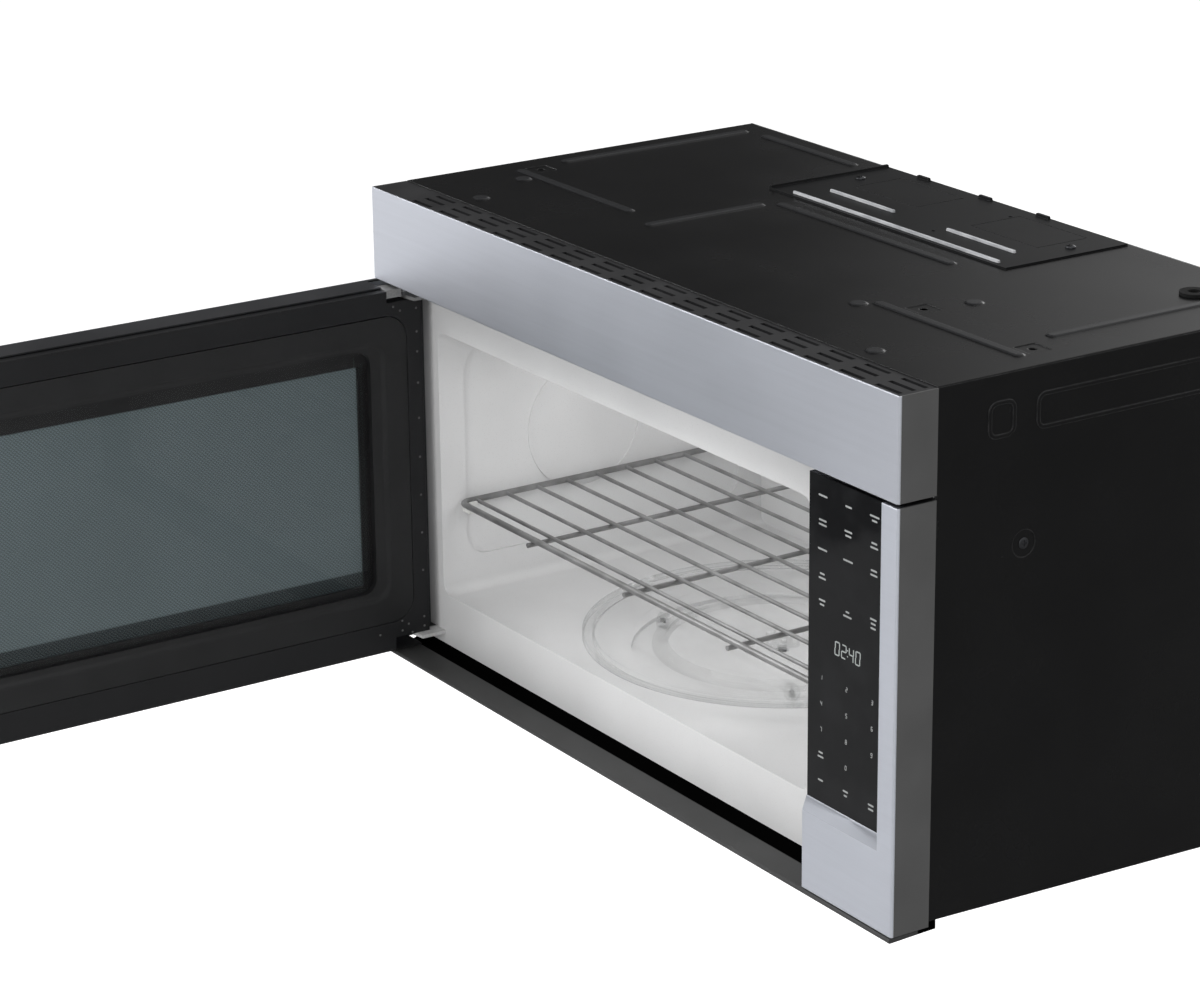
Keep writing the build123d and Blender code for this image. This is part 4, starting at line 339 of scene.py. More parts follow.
def ribbed_cover(name):
    """The blower's cover: satin black, with a painted highlight on its raised ribs and along its edges."""
    rib_side, fold_width, tabs_depth = 2.0 * MM, 6.0 * MM, 19.0 * MM
    look = Look(name, (0.010, 0.0102, 0.0106), 0.34, Specular_IOR_Level=0.06)
    low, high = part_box("exhaust_cover")
    raised = look.fit(look.axis("Z"), high.z - rib_side, high.z - rib_side + 0.2 * MM)
    beside_fold = look.fit(look.axis("X"), low.x + fold_width, low.x + fold_width + MM)
    before_tabs = look.fit(look.axis("Y"), high.y - tabs_depth, high.y - tabs_depth - MM)
    rib = look.step("MULTIPLY", raised, look.step("MULTIPLY", beside_fold, before_tabs))
    patches = look.fit(look.noise(0.08, 3.0), 0.35, 0.7)
    painted = look.blend(patches, (0.0085, 0.0087, 0.0092), (0.0125, 0.0127, 0.0132))
    # painted highlight along the edges
    edge_highlight = look.blend(look.edges(EDGE_RADIUS), painted, (0.06, 0.06, 0.062))
    # painted highlight on the ribs, in streaks
    streaks = look.fit(look.noise(0.004, 3.0, (6.0, 1.0, 1.0)), 0.35, 0.65)
    rib_highlight = look.blend(streaks, (0.42, 0.43, 0.45), (0.68, 0.69, 0.71))
    look.set("Base Color", look.blend(rib, edge_highlight, rib_highlight))
    look.set("Roughness", look.fit(patches, 0.0, 1.0, 0.31, 0.37))
    look.bump(look.noise(ORANGE_PEEL, 2.0), 0.00003, 0.4)
    return look.material


def hinge_steel(name):
    """Zinc-coated hinge plates: dull above, paler below, and painted shadow in black under the door."""
    look = Look(name, (0.66, 0.66, 0.65), 0.50)
    black_end, bare_start = LEFT + 23 * MM, LEFT + 26 * MM
    under_door = look.fit(look.axis("X"), bare_start, black_end)
    grain = look.fit(look.noise(0.0025, 3.0), 0.35, 0.65)
    below = look.fit(look.axis("Z"), 0.0, -0.01)
    dull_coat = look.blend(grain, (0.22, 0.22, 0.22), (0.28, 0.28, 0.28))
    bright_coat = look.blend(grain, (0.60, 0.60, 0.595), (0.72, 0.72, 0.715))
    zinc_coat = look.blend(below, dull_coat, bright_coat)
    # painted shadow: black where the lower plate lies under the door
    black = look.step("MULTIPLY", under_door, below)
    look.set("Base Color", look.blend(black, zinc_coat, (0.006, 0.006, 0.006)))
    look.set("Metallic", look.fit(black, 0.0, 1.0, 0.3, 0.0))
    look.set("Roughness", look.fit(grain, 0.0, 1.0, 0.42, 0.52))
    look.bump(grain, 0.00003, 0.4)
    return look.material


def gloss_glass(name, colour):
    """Black printed glass: mirror-smooth, with faint finger marks."""
    look = Look(name, colour, 0.07, Specular_IOR_Level=0.1)
    marks = look.fit(look.noise(0.03, 4.0), 0.45, 0.75)
    look.set("Roughness", look.fit(marks, 0.0, 1.0, 0.06, 0.26))
    lighter = tuple(value * 1.4 for value in colour)
    look.set("Base Color", look.blend(marks, colour, lighter))
    return look.material


def perforated(name, hole_pitch, row_pitch, shaded_below):
    """A painted screen with offset rows of fine holes that show painted light coming through, and painted
    shade below a height of the door.
    """
    look = Look(name, (0.05, 0.06, 0.062), 0.5, Specular_IOR_Level=0.2)
    across = look.step("DIVIDE", look.axis("Y"), hole_pitch)
    down = look.step("DIVIDE", look.axis("Z"), row_pitch)
    odd = look.step("MODULO", look.step("ABSOLUTE", look.step("FLOOR", down)), 2.0)
    shifted = look.step("ADD", across, look.step("MULTIPLY", odd, 0.5))
    x = look.step("SUBTRACT", look.step("FRACT", shifted), 0.5)
    z = look.step("SUBTRACT", look.step("FRACT", down), 0.5)
    gap = look.step("SQRT", look.step("ADD", look.step("MULTIPLY", x, x), look.step("MULTIPLY", z, z)))
    hole = look.fit(gap, 0.42, 0.30)
    clouds = look.fit(look.noise(0.10, 2.0), 0.35, 0.65)
    # painted light coming through the holes
    light_through = look.blend(clouds, (0.126, 0.158, 0.166), (0.142, 0.178, 0.188))
    lit = look.blend(hole, (0.068, 0.086, 0.091), light_through)
    unlit = look.blend(hole, (0.012, 0.014, 0.015), (0.042, 0.056, 0.060))
    # painted shade on the lowest rows
    shade = look.fit(look.axis("Z"), shaded_below, shaded_below - 0.001)
    look.set("Base Color", look.blend(shade, lit, unlit))
    look.bump(hole, -0.0002, 0.6)
    return look.material


def expanded_mesh(name, size):
    """Layers of expanded aluminium: bright strands round dark diamonds."""
    look = Look(name, (0.50, 0.50, 0.50), 0.38, 1.0)
    strands = []
    for turn in (math.radians(30), math.radians(-30)):
        along = look.scaled((1 / size, 1 / size, 1 / size), (0.0, 0.0, turn))
        wave = look.add("ShaderNodeSeparateXYZ", {"Vector": along}).outputs["Y"]
        strands.append(look.step("ABSOLUTE", look.step("SUBTRACT", look.step("FRACT", wave), 0.5)))
    strand = look.fit(look.step("MAXIMUM", *strands), 0.30, 0.42)
    look.set("Base Color", look.blend(strand, (0.05, 0.05, 0.05), (0.62, 0.62, 0.61)))
    look.set("Roughness", look.fit(strand, 0.0, 1.0, 0.75, 0.34))
    look.bump(strand, 0.0008, 0.8)
    return look.material


def foam(name, colour, size):
    """Open foam or packed grains."""
    look = Look(name, colour, 0.92, Specular_IOR_Level=0.2)
    grains = look.cells(size)
    lighter = tuple(value * 2.4 + 0.004 for value in colour)
    look.set("Base Color", look.blend(look.fit(grains, 0.1, 0.7), lighter, colour))
    look.bump(look.fit(grains, 0.0, 0.8, 1.0, 0.0), 0.0012, 0.9)
    return look.material


def winding(name, pitch):
    """Enamelled copper turns round the middle, with laminated steel above and below."""
    low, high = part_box("hv_transformer")
    look = Look(name, (0.36, 0.13, 0.05), 0.35, 0.8)
    turn = look.step("SINE", look.step("MULTIPLY", look.axis("Z"), 2 * math.pi / pitch))
    middle = (low.z + high.z) / 2
    offset = look.step("ABSOLUTE", look.step("SUBTRACT", look.axis("Z"), middle))
    steel = look.fit(offset, (high.z - low.z) * 0.28, (high.z - low.z) * 0.30)
    copper = look.blend(look.fit(turn, -1.0, 1.0), (0.20, 0.06, 0.02), (0.48, 0.19, 0.08))
    look.set("Base Color", look.blend(steel, copper, (0.12, 0.12, 0.13)))
    look.bump(turn, 0.0002, 0.8)
    return look.material


def circuit(name):
    """A green circuit board with copper tracks under its lacquer."""
    look = Look(name, (0.02, 0.10, 0.05), 0.35, Specular_IOR_Level=0.5)
    tracks = look.fit(look.cells(0.004, feature="DISTANCE_TO_EDGE"), 0.10, 0.05)
    look.set("Base Color", look.blend(tracks, (0.02, 0.10, 0.05), (0.07, 0.24, 0.11)))
    look.bump(tracks, 0.00006, 0.7)
    return look.material


def pressed_mica(name):
    """Pressed mica: pale flakes in layers."""
    look = Look(name, (0.56, 0.52, 0.45), 0.48, Specular_IOR_Level=0.5)
    flakes = look.cells(0.006, output="Color", stretch=(1.0, 1.0, 0.6))
    shade = look.add("ShaderNodeSeparateColor", {"Color": flakes}).outputs[0]
    look.set("Base Color", look.blend(shade, (0.46, 0.42, 0.35), (0.66, 0.63, 0.56)))
    look.set("Roughness", look.fit(shade, 0.0, 1.0, 0.35, 0.6))
    look.bump(shade, 0.00008, 0.6)
    return look.material


def glowing(name, colour, strength):
    """The clock's faintly lit segments."""
    look = Look(name, colour, 0.4, Emission_Strength=strength)
    look.set("Emission Color", (*colour, 1.0))
    return look.material


def door_skin(name):
    """The door's frame: brushed steel on its outer face, black paint on its returns."""
    look = Look(name, (0.045, 0.046, 0.048), 0.45, Specular_IOR_Level=0.25)
    outer_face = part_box("door_frame")[0].x
    steel = look.fit(look.axis("X"), outer_face + 0.0016, outer_face + 0.0014)
    lines = look.noise(BRUSH_LINE, 3.0, (1.0, BRUSH_STRETCH, 1.0))
    brushed = look.blend(look.fit(lines, 0.3, 0.7), (0.53, 0.55, 0.60), (0.66, 0.69, 0.75))
    clouds = look.fit(look.noise(0.08, 3.0), 0.35, 0.7)
    painted = look.blend(clouds, (0.020, 0.0205, 0.0225), (0.032, 0.0325, 0.035))
    look.set("Base Color", look.blend(steel, painted, brushed))
    look.set("Metallic", steel)
    look.set("Roughness", look.fit(steel, 0.0, 1.0, 0.46, 0.34))
    look.bump(lines, 0.00002, 0.5)
    return look.material


CASE_BLACK = (0.0050, 0.0050, 0.0053)
# a painted highlight on the top's raised ribs and dimples
RIB_HIGHLIGHT_BLACK = (0.024, 0.0245, 0.026)
# edge colour of the black case: wear and a painted highlight
EDGE_WEAR_AND_HIGHLIGHT_BLACK = (0.11, 0.11, 0.113)
DOOR_BLACK = (0.0108, 0.0110, 0.0118)
# the ribs pressed up out of the top stand this high above its flat, and carry a painted highlight from just
# above it
TOP_RIB_HEIGHT = 1.4 * MM
HIGHLIGHT_FROM = 0.4 * MM
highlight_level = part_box("case_top_panel")[1].z - TOP_RIB_HEIGHT + HIGHLIGHT_FROM
ALONG_FRONT = (BRUSH_STRETCH, 1.0, 1.0)
UPRIGHT = (1.0, 1.0, BRUSH_STRETCH)

# the lowest rows of the screen have the door's outer frame behind them, and are painted in shade
SHADED_ROWS_HEIGHT = 22.2 * MM
shaded_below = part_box("mesh_screen")[0].z + SHADED_ROWS_HEIGHT
HOLE_PITCH = 3.4 * MM
HOLE_ROW_PITCH = HOLE_PITCH / 2

looks = {
    "steel_along": brushed_steel("steel_along", ALONG_FRONT),
    "steel_panel": brushed_steel("steel_panel", ALONG_FRONT, (0.67, 0.695, 0.76), slope_shade=0.56),
    "steel_upright": brushed_steel("steel_upright", UPRIGHT, roughness=0.32),
    "case_paint": sprayed_metal("case_paint", CASE_BLACK, 0.25, 0.15, EDGE_WEAR_AND_HIGHLIGHT_BLACK),
    "top_paint": sprayed_metal("top_paint", CASE_BLACK, 0.25, 0.15, EDGE_WEAR_AND_HIGHLIGHT_BLACK, highlight_level),
    "cover_paint": ribbed_cover("cover_paint"),
    "dark_zinc": bare_metal("dark_zinc", (0.055, 0.056, 0.060), 0.35, 0.003),
    "base_paint": sprayed_metal("base_paint", (0.014, 0.014, 0.015), 0.5, 0.25, (0.10, 0.10, 0.10)),
    "trim_paint": two_toned_trim("trim_paint"),
    "door_paint": sprayed_metal("door_paint", DOOR_BLACK, 0.42, 0.2, (0.02, 0.02, 0.02)),
    "choke_plastic": moulded_plastic("choke_plastic", (0.0075, 0.0077, 0.0082), 0.42),
    "hinge_steel": hinge_steel("hinge_steel"),
    "door_skin": door_skin("door_skin"),
    "end_cap": moulded_plastic("end_cap", from_screen(82, 82, 82), 0.55),
    "black_plastic": moulded_plastic("black_plastic", (0.012, 0.012, 0.013), 0.5),
    "light_plastic": moulded_plastic("light_plastic", (0.62, 0.62, 0.60), 0.45),
    "enamel": enamel("enamel"),
    "zinc": bare_metal("zinc", (0.55, 0.56, 0.57), 0.36, 0.009),
    "bright_zinc": bare_metal("bright_zinc", (0.72, 0.73, 0.74), 0.28, 0.003),
    "cast": bare_metal("cast", (0.40, 0.40, 0.40), 0.5, 0.0012),
    "wire": drawn_wire("wire"),
    "tray_glass": rimmed_glass("tray_glass"),
    "window_glass": clear_glass("window_glass", (0.93, 0.97, 0.97), 0.01, 0.4, presence=0.12),
    "clear_plastic": clear_glass("clear_plastic", (0.86, 0.88, 0.87), 0.12, 0.004, presence=0.14),
    "lamp_lens": clear_glass("lamp_lens", (0.93, 0.93, 0.90), 0.22, 0.003),
    "panel_glass": gloss_glass("panel_glass", (0.0100, 0.0103, 0.0110)),
    "outer_glass": gloss_glass("outer_glass", (0.010, 0.0105, 0.012)),
    "screen": perforated("screen", HOLE_PITCH, HOLE_ROW_PITCH, shaded_below),
    "filter_mesh": expanded_mesh("filter_mesh", 0.006),
    "charcoal": foam("charcoal", (0.010, 0.010, 0.010), 0.003),
    "rubber": foam("rubber", (0.012, 0.012, 0.012), 0.0006),
    "winding": winding("winding", 0.0012),
    "circuit": circuit("circuit"),
    "mica": pressed_mica("mica"),
    "print": moulded_plastic("print", from_screen(150, 152, 152), 0.6),
    "digits": glowing("digits", from_screen(158, 163, 162), 0.06),
}

node_looks = {
    "steel_along": ("top_fascia",),
    "steel_panel": ("control_panel_frame",),
    "steel_upright": ("door_handle",),
    "case_paint": ("case_left_panel", "case_right_panel"),
    "top_paint": ("case_top_panel",),
    "cover_paint": ("exhaust_cover",),
    "base_paint": ("base_pan",),
    "trim_paint": ("base_front_trim",),
    "door_paint": ("door_inner_panel",),
    "door_skin": ("door_frame",),
    "choke_plastic": ("choke_cover",),
    "hinge_steel": ("hinge_plates", "upper_hinge_bracket"),
    "end_cap": ("trim_end_caps",),
    "black_plastic": (
        "vent_grille", "control_chassis", "display_module", "latch_hooks", "latch_guides",
        "latch_housing", "switch_plungers", "cooling_fan_shroud", "cooling_fan_blades", "blower_rotor",
    ),
    "light_plastic": ("rack_supports", "interlock_switches", "cooktop_lamps"),
    "enamel": ("oven_cavity",),
    "zinc": (
        "rear_panel", "component_tray", "waveguide", "blower_housing", "hv_capacitor", "turntable_motor",
    ),
    "bright_zinc": ("hinge_pins", "latch_spring", "case_screws"),
    "cast": ("magnetron", "cooling_fan_motor", "blower_motor"),
    "wire": ("wire_rack",),
    "tray_glass": ("glass_tray",),
    "window_glass": ("door_inner_glass",),
    "clear_plastic": ("turntable_coupler", "roller_ring", "roller_1", "roller_2", "roller_3"),
    "lamp_lens": ("cooktop_lamp_lenses",),
    "panel_glass": ("control_glass",),
    "outer_glass": ("door_outer_glass",),
    "screen": ("mesh_screen",),
    "filter_mesh": ("grease_filter_left", "grease_filter_right"),
    "charcoal": ("charcoal_filter",),
    "rubber": ("cord_grommet",),
    "winding": ("hv_transformer",),
    "circuit": ("control_board",),
    "mica": ("waveguide_cover",),
}
for look_name, names in node_looks.items():
    for node_name in names:
        for material_slot in nodes[node_name].material_slots:
            material_slot.material = looks[look_name]


# ---------------------------------------------------------------- small pieces
def add_piece(name, mesh, look_name, body):
    """Puts a finished mesh in the scene, on its body."""
    mesh.update()
    piece = bpy.data.objects.new(name, mesh)
    bpy.context.scene.collection.objects.link(piece)
    mesh.materials.append(looks[look_name])
    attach(piece, body)
    return piece


def mesh_from(name, forms, smooth=False):
    """One mesh from one or more bmeshes, which are freed."""
    whole = bmesh.new()
    for form in forms:
        part = bpy.data.meshes.new("part")
        form.to_mesh(part)
        form.free()
        whole.from_mesh(part)
        bpy.data.meshes.remove(part)
    for face in whole.faces:
        face.smooth = smooth
    mesh = bpy.data.meshes.new(name)
    whole.to_mesh(mesh)
    whole.free()
    return mesh


def facing(normal, up):
    """A turn that carries local Z to a normal and local Y to up."""
    z = Vector(normal).normalized()
    x = Vector(up).cross(z).normalized()
    return Matrix((x, z.cross(x), z)).transposed().to_4x4()


def slab(centre, normal, up, width, height, thickness, corner, arc_steps):
    """A thin rounded plate. centre is the middle of its back."""
    form = bmesh.new()
    points = []
    for turn, (side, rise) in enumerate(((1, 1), (-1, 1), (-1, -1), (1, -1))):
        for step in range(arc_steps + 1):
            angle = math.radians(90) * (turn + step / arc_steps)
            x = side * (width / 2 - corner) + corner * math.cos(angle)
            y = rise * (height / 2 - corner) + corner * math.sin(angle)
            points.append((x, y))
    rings = []
    for level, inset in ((0.0, 0.0), (thickness * 0.7, 0.0), (thickness, thickness * 0.3)):
        share_x = 1 - 2 * inset / width
        share_y = 1 - 2 * inset / height
        rings.append([form.verts.new((x * share_x, y * share_y, level)) for x, y in points])
    count = len(points)
    for lower, upper in zip(rings, rings[1:]):
        for i in range(count):
            form.faces.new((lower[i], lower[(i + 1) % count], upper[(i + 1) % count], upper[i]))
    form.faces.new(rings[-1])
    form.faces.new(reversed(rings[0]))
    form.transform(Matrix.Translation(centre) @ facing(normal, up))
    return form


def turned(profile, centre, normal, up, steps):
    """A form of revolution from (radius, height) points, about the normal."""
    form = bmesh.new()
    rings = []
    for radius, height in profile:
        if radius == 0:
            rings.append([form.verts.new((0, 0, height))])
            continue
        ring = []
        for step in range(steps):
            angle = 2 * math.pi * step / steps
            ring.append(form.verts.new((radius * math.cos(angle), radius * math.sin(angle), height)))
        rings.append(ring)
    for lower, upper in zip(rings, rings[1:]):
        for i in range(steps):
            j = (i + 1) % steps
            walk = ((lower, i), (lower, j), (upper, j), (upper, i))
            corners = [ring[step % len(ring)] for ring, step in walk]
            # at a ring of one point the face is a triangle
            form.faces.new(list(dict.fromkeys(corners)))
    form.transform(Matrix.Translation(centre) @ facing(normal, up))
    return form


# numbers and marks printed on the control panel, drawn as thin strokes
PRINT_HEIGHT = 0.06 * MM
PRINT_ARC_STEPS = 3
DIGIT_LEAN = 0.10               # sideways for each upward
LEVEL_STROKE = 0.92             # a level stroke's length for an upright one's
STROKE_ROUNDING = 0.4           # a digit's corner radius for its stroke
BAR_ROUNDING = 0.45
glass_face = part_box("control_glass")[0].y
OUTWARD = (0, -1, 0)
UP = (0, 0, 1)

# seven strokes of a digit: middle across and up in half-heights, and whether it stands upright
STROKES = {
    "top": (0.0, 1.0, False), "middle": (0.0, 0.0, False), "bottom": (0.0, -1.0, False),
    "upper_left": (-0.5, 0.5, True), "upper_right": (0.5, 0.5, True),
    "lower_left": (-0.5, -0.5, True), "lower_right": (0.5, -0.5, True),
}
DIGITS = {
    "0": "top bottom upper_left upper_right lower_left lower_right",
    "1": "upper_right lower_right",
    "2": "top upper_right middle lower_left bottom",
    "3": "top upper_right middle lower_right bottom",
    "4": "upper_left upper_right middle lower_right",
    "5": "top upper_left middle lower_right bottom",
    "6": "top upper_left middle lower_left lower_right bottom",
    "7": "top upper_right lower_right",
    "8": "top middle bottom upper_left upper_right lower_left lower_right",
    "9": "top upper_left upper_right middle lower_right bottom",
}


def on_glass(across, drop):
    """A place on the control glass."""
    place = at(across, 0, drop)
    place.y = glass_face
    return place


def printed_slab(across, drop, width, height, corner):
    """A thin mark on the control glass, in millimetres."""
    middle = on_glass(across, drop)
    return slab(middle, OUTWARD, UP, width * MM, height * MM, PRINT_HEIGHT, corner * MM, PRINT_ARC_STEPS)


def digit(character, across, drop, height, stroke):
    """One digit of up to seven strokes, leaning a little."""
    half = height / 2
    forms = []
    for name in DIGITS[character].split():
        side, rise, upright = STROKES[name]
        x = across + side * half + rise * half * DIGIT_LEAN
        length = half * (1.0 if upright else LEVEL_STROKE)
        wide, high = (stroke, length) if upright else (length, stroke)
        forms.append(printed_slab(x, drop - rise * half, wide, high, STROKE_ROUNDING * min(wide, high)))
    return forms


def bar(across, drop, length, stroke):
    """A short printed bar that stands for a word."""
    return printed_slab(across, drop, length, stroke, BAR_ROUNDING * stroke)


COLUMNS = (662.8, 694.7, 726.6)
LINE_PITCH = 3.6
BAR_STROKE = 1.5
# each label: column, drop of its first line, and the bar lengths of its lines
LABELS = (
    (0, 103.0, (11.0,)), (1, 103.0, (8.0,)), (2, 101.5, (11.5, 6.5)),
    (0, 122.5, (9.5, 10.0)), (1, 122.5, (9.5, 7.5)), (2, 122.5, (7.0, 9.5)),
    (0, 145.7, (11.5,)), (1, 145.7, (12.0,)), (2, 144.0, (7.5, 8.5)),
    (0, 165.2, (6.0, 9.0)), (0, 186.5, (8.0, 5.5)), (1, 186.5, (4.5, 10.5)),
    (2, 182.5, (8.0, 6.0, 6.5)), (0, 311.0, (5.5, 7.5)), (0, 334.0, (6.5,)),
    (1, 332.5, (6.5, 4.0)), (2, 332.5, (7.0, 6.5)),
)
KEY_ROWS = (249.0, 270.3, 291.7)
ZERO_KEY_DROP = 313.0
KEY_DIGIT_HEIGHT = 3.4
KEY_STROKE = 0.6
printed = []
for column, first_drop, lengths in LABELS:
    for line, length in enumerate(lengths):
        printed.append(bar(COLUMNS[column], first_drop + line * LINE_PITCH, length, BAR_STROKE))
for row, key_drop in enumerate(KEY_ROWS):
    for column, across in enumerate(COLUMNS):
        number = len(COLUMNS) * row + column + 1
        printed += digit(str(number), across, key_drop, KEY_DIGIT_HEIGHT, KEY_STROKE)
printed += digit("0", COLUMNS[1], ZERO_KEY_DROP, KEY_DIGIT_HEIGHT, KEY_STROKE)
add_piece("panel_print", mesh_from("panel_print", printed), "print", "chassis")

CLOCK = "0240"
CLOCK_DROP = 219.5
CLOCK_PLACES = (682.5, 690.8, 700.0, 708.3)
CLOCK_HEIGHT = 10.5
CLOCK_STROKE = 1.1
COLON_PLACE = 695.5
COLON_REACH = 2.4
COLON_SIZE = 1.2
COLON_CORNER = 0.5
lit = []
for character, across in zip(CLOCK, CLOCK_PLACES):
    lit += digit(character, across, CLOCK_DROP, CLOCK_HEIGHT, CLOCK_STROKE)
for dot_drop in (CLOCK_DROP - COLON_REACH, CLOCK_DROP + COLON_REACH):
    lit.append(printed_slab(COLON_PLACE, dot_drop, COLON_SIZE, COLON_SIZE, COLON_CORNER))
add_piece("clock_digits", mesh_from("clock_digits", lit), "digits", "chassis")


# cross-headed screws in place of the plain ones
WELD_DISTANCE = 0.001 * MM


def plain_screws():
    """The lowest and highest corner of each plain screw."""
    shell = bmesh.new()
    shell.from_mesh(nodes["case_screws"].data)
    bmesh.ops.remove_doubles(shell, verts=shell.verts, dist=WELD_DISTANCE)
    unseen = dict.fromkeys(shell.verts)
    corners = []
    while unseen:
        waiting = [unseen.popitem()[0]]
        points = []
        while waiting:
            vertex = waiting.pop()
            points.append(vertex.co.copy())
            for link in vertex.link_edges:
                other = link.other_vert(vertex)
                if other in unseen:
                    del unseen[other]
                    waiting.append(other)
        low = Vector([min(point[i] for point in points) for i in range(3)])
        high = Vector([max(point[i] for point in points) for i in range(3)])
        corners.append((low, high))
    shell.free()
    return corners


HEAD_RIM = 0.35                 # the straight rim's share of a head's height
HEAD_STEPS = 40
DOME_STEPS = 6
RECESS_LEVEL = 0.45             # the recess's floor, as a share of the head's height
RECESS_LONG, RECESS_WIDE = 1.15, 0.24
RECESS_CORNER = 0.06            # these three as shares of the head's radius


def screw_head(low, high):
    """A round-topped head with a cross recess, as large as the plain head it replaces."""
    middle = (low + high) / 2
    size = high - low
    thin = min(range(3), key=lambda i: size[i])
    outward = Vector((0, 0, 0))
    outward[thin] = 1.0 if middle[thin] > (cad_box[0][thin] + cad_box[1][thin]) / 2 else -1.0
    thickness = size[thin]
    radius = max(size) / 2
    back = middle - outward * thickness / 2
    up = (0, 1, 0) if thin == 2 else UP
    profile = [(0, 0), (radius, 0), (radius, thickness * HEAD_RIM)]
    for step in range(1, DOME_STEPS):
        angle = math.radians(90) * step / DOME_STEPS
        rise = HEAD_RIM + (1 - HEAD_RIM) * math.sin(angle)
        profile.append((radius * math.cos(angle), thickness * rise))
    profile.append((0, thickness))
    head = turned(profile, back, outward, up, HEAD_STEPS)
    recess_floor = back + outward * thickness * RECESS_LEVEL
    corner = radius * RECESS_CORNER
    recess = [
        slab(recess_floor, outward, up, radius * long, radius * wide, thickness, corner, 2)
        for long, wide in ((RECESS_LONG, RECESS_WIDE), (RECESS_WIDE, RECESS_LONG))
    ]
    return head, recess


def carve(screw, arm_form):
    """Cuts one arm of the cross out of a screw."""
    arm = bpy.data.objects.new("arm", mesh_from("arm", [arm_form]))
    bpy.context.scene.collection.objects.link(arm)
    cut = screw.modifiers.new("recess", "BOOLEAN")
    cut.object = arm
    cut.operation = "DIFFERENCE"
    cut.solver = "EXACT"
    bpy.context.view_layer.update()
    depsgraph = bpy.context.evaluated_depsgraph_get()
    carved = bpy.data.meshes.new_from_object(screw.evaluated_get(depsgraph))
    screw.modifiers.clear()
    screw.data = carved
    bpy.data.objects.remove(arm)


heads = []
for low, high in plain_screws():
    head, recess = screw_head(low, high)
    screw = bpy.data.objects.new("screw", mesh_from("screw", [head], smooth=True))
    bpy.context.scene.collection.objects.link(screw)
    for arm_form in recess:
        carve(screw, arm_form)
    form = bmesh.new()
    form.from_mesh(screw.data)
    heads.append(form)
    bpy.data.objects.remove(screw)
screws = add_piece("screw_heads", mesh_from("screw_heads", heads), "dark_zinc", "chassis")
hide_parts("case_screws")

# the door's bottom return, closed under its hinge corner
RETURN_SHEET = 1.2
RETURN_CORNER = 0.3
RETURN_LEFT, RETURN_RIGHT = -2.0, 22.8
RETURN_FRONT, RETURN_BACK = -5.9, 26.0
door_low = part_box("door_frame")[0].z
return_middle = at((RETURN_LEFT + RETURN_RIGHT) / 2, (RETURN_FRONT + RETURN_BACK) / 2, 0)
return_middle.z = door_low
closing = slab(
    return_middle, UP, (0, 1, 0), (RETURN_RIGHT - RETURN_LEFT) * MM, (RETURN_BACK - RETURN_FRONT) * MM,
    RETURN_SHEET * MM, RETURN_CORNER * MM, 2,
)
add_piece("corner_return", mesh_from("corner_return", [closing]), "door_paint", "door")

# weld marks on the door's inner border: back and drop of each, on the open door
DOOR_MARKS = (
    (0.7, 102.5), (7.4, 107.1), (23.9, 107.3), (23.9, 129.0), (23.9, 147.5), (23.9, 176.5),
    (23.9, 209.5), (23.9, 246.0), (23.9, 282.0), (23.9, 318.0), (23.9, 354.0), (23.9, 398.8),
    (0.7, 398.3), (7.4, 402.5), (23.9, 407.9), (0.7, 407.7), (11.2, 411.4), (-22.6, 407.2),
)
MARK_PROFILE = ((0, 0), (1.1 * MM, 0), (0.9 * MM, 0.12 * MM), (0, 0.2 * MM))
MARK_STEPS = 20
door_inner_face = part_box("door_inner_panel")[1].x
INTO_OPENING = (1, 0, 0)
marks = []
for back, drop in DOOR_MARKS:
    place = at(0, back, drop)
    place.x = door_inner_face
    marks.append(turned(MARK_PROFILE, place, INTO_OPENING, UP, MARK_STEPS))
add_piece("door_marks", mesh_from("door_marks", marks, smooth=True), "end_cap", "door")


# ---------------------------------------------------------------- floor, world, lamps and camera
FLOOR_LEVEL = -0.62
FLOOR_SPREAD = 14.0             # from the middle to each side
CAMERA_LIFT = 0.60              # glow that turns the paper white for the camera
MIRRORED_PAPER = (0.55, 0.55, 0.55)
MIRRORED_LIFT = 0.60            # glow of the paper in the steel, at its left
LIFT_START, LIFT_END = -1.8, -3.5       # where that glow grows, in metres along X


def paper(name):
    """Pale paper that is lifted to white for the camera and still shows the object's shadow."""
    look = Look(name, (0.80, 0.80, 0.80), 0.9, Specular_IOR_Level=0.1)
    paths = look.add("ShaderNodeLightPath")
    pale = look.blend(look.noise(0.02, 3.0), (0.79, 0.79, 0.79), (0.81, 0.81, 0.81))
    look.set("Base Color", look.blend(paths.outputs["Is Glossy Ray"], pale, MIRRORED_PAPER))
    seen = look.step("MULTIPLY", paths.outputs["Is Camera Ray"], CAMERA_LIFT)
    # in the steel, the floor grows lighter to the left
    lift_there = look.fit(look.axis("X"), LIFT_START, LIFT_END, 0.0, MIRRORED_LIFT)
    mirrored = look.step("MULTIPLY", paths.outputs["Is Glossy Ray"], lift_there)
    glow = {"Color": (1.0, 1.0, 1.0, 1.0), "Strength": look.step("ADD", seen, mirrored)}
    lift = look.add("ShaderNodeEmission", glow)
    both = look.add("ShaderNodeAddShader", {0: look.shader.outputs[0], 1: lift.outputs[0]})
    output = look.tree.nodes["Material Output"]
    look.tree.links.new(both.outputs[0], output.inputs["Surface"])
    return look.material


floor_mesh = bpy.data.meshes.new("floor")
floor_corners = [
    (x * FLOOR_SPREAD, y * FLOOR_SPREAD, FLOOR_LEVEL) for x, y in ((-1, -1), (1, -1), (1, 1), (-1, 1))
]
floor_mesh.from_pydata(floor_corners, [], [(0, 1, 2, 3)])
floor = bpy.data.objects.new("floor", floor_mesh)
bpy.context.scene.collection.objects.link(floor)
floor_mesh.materials.append(paper("floor_paper"))

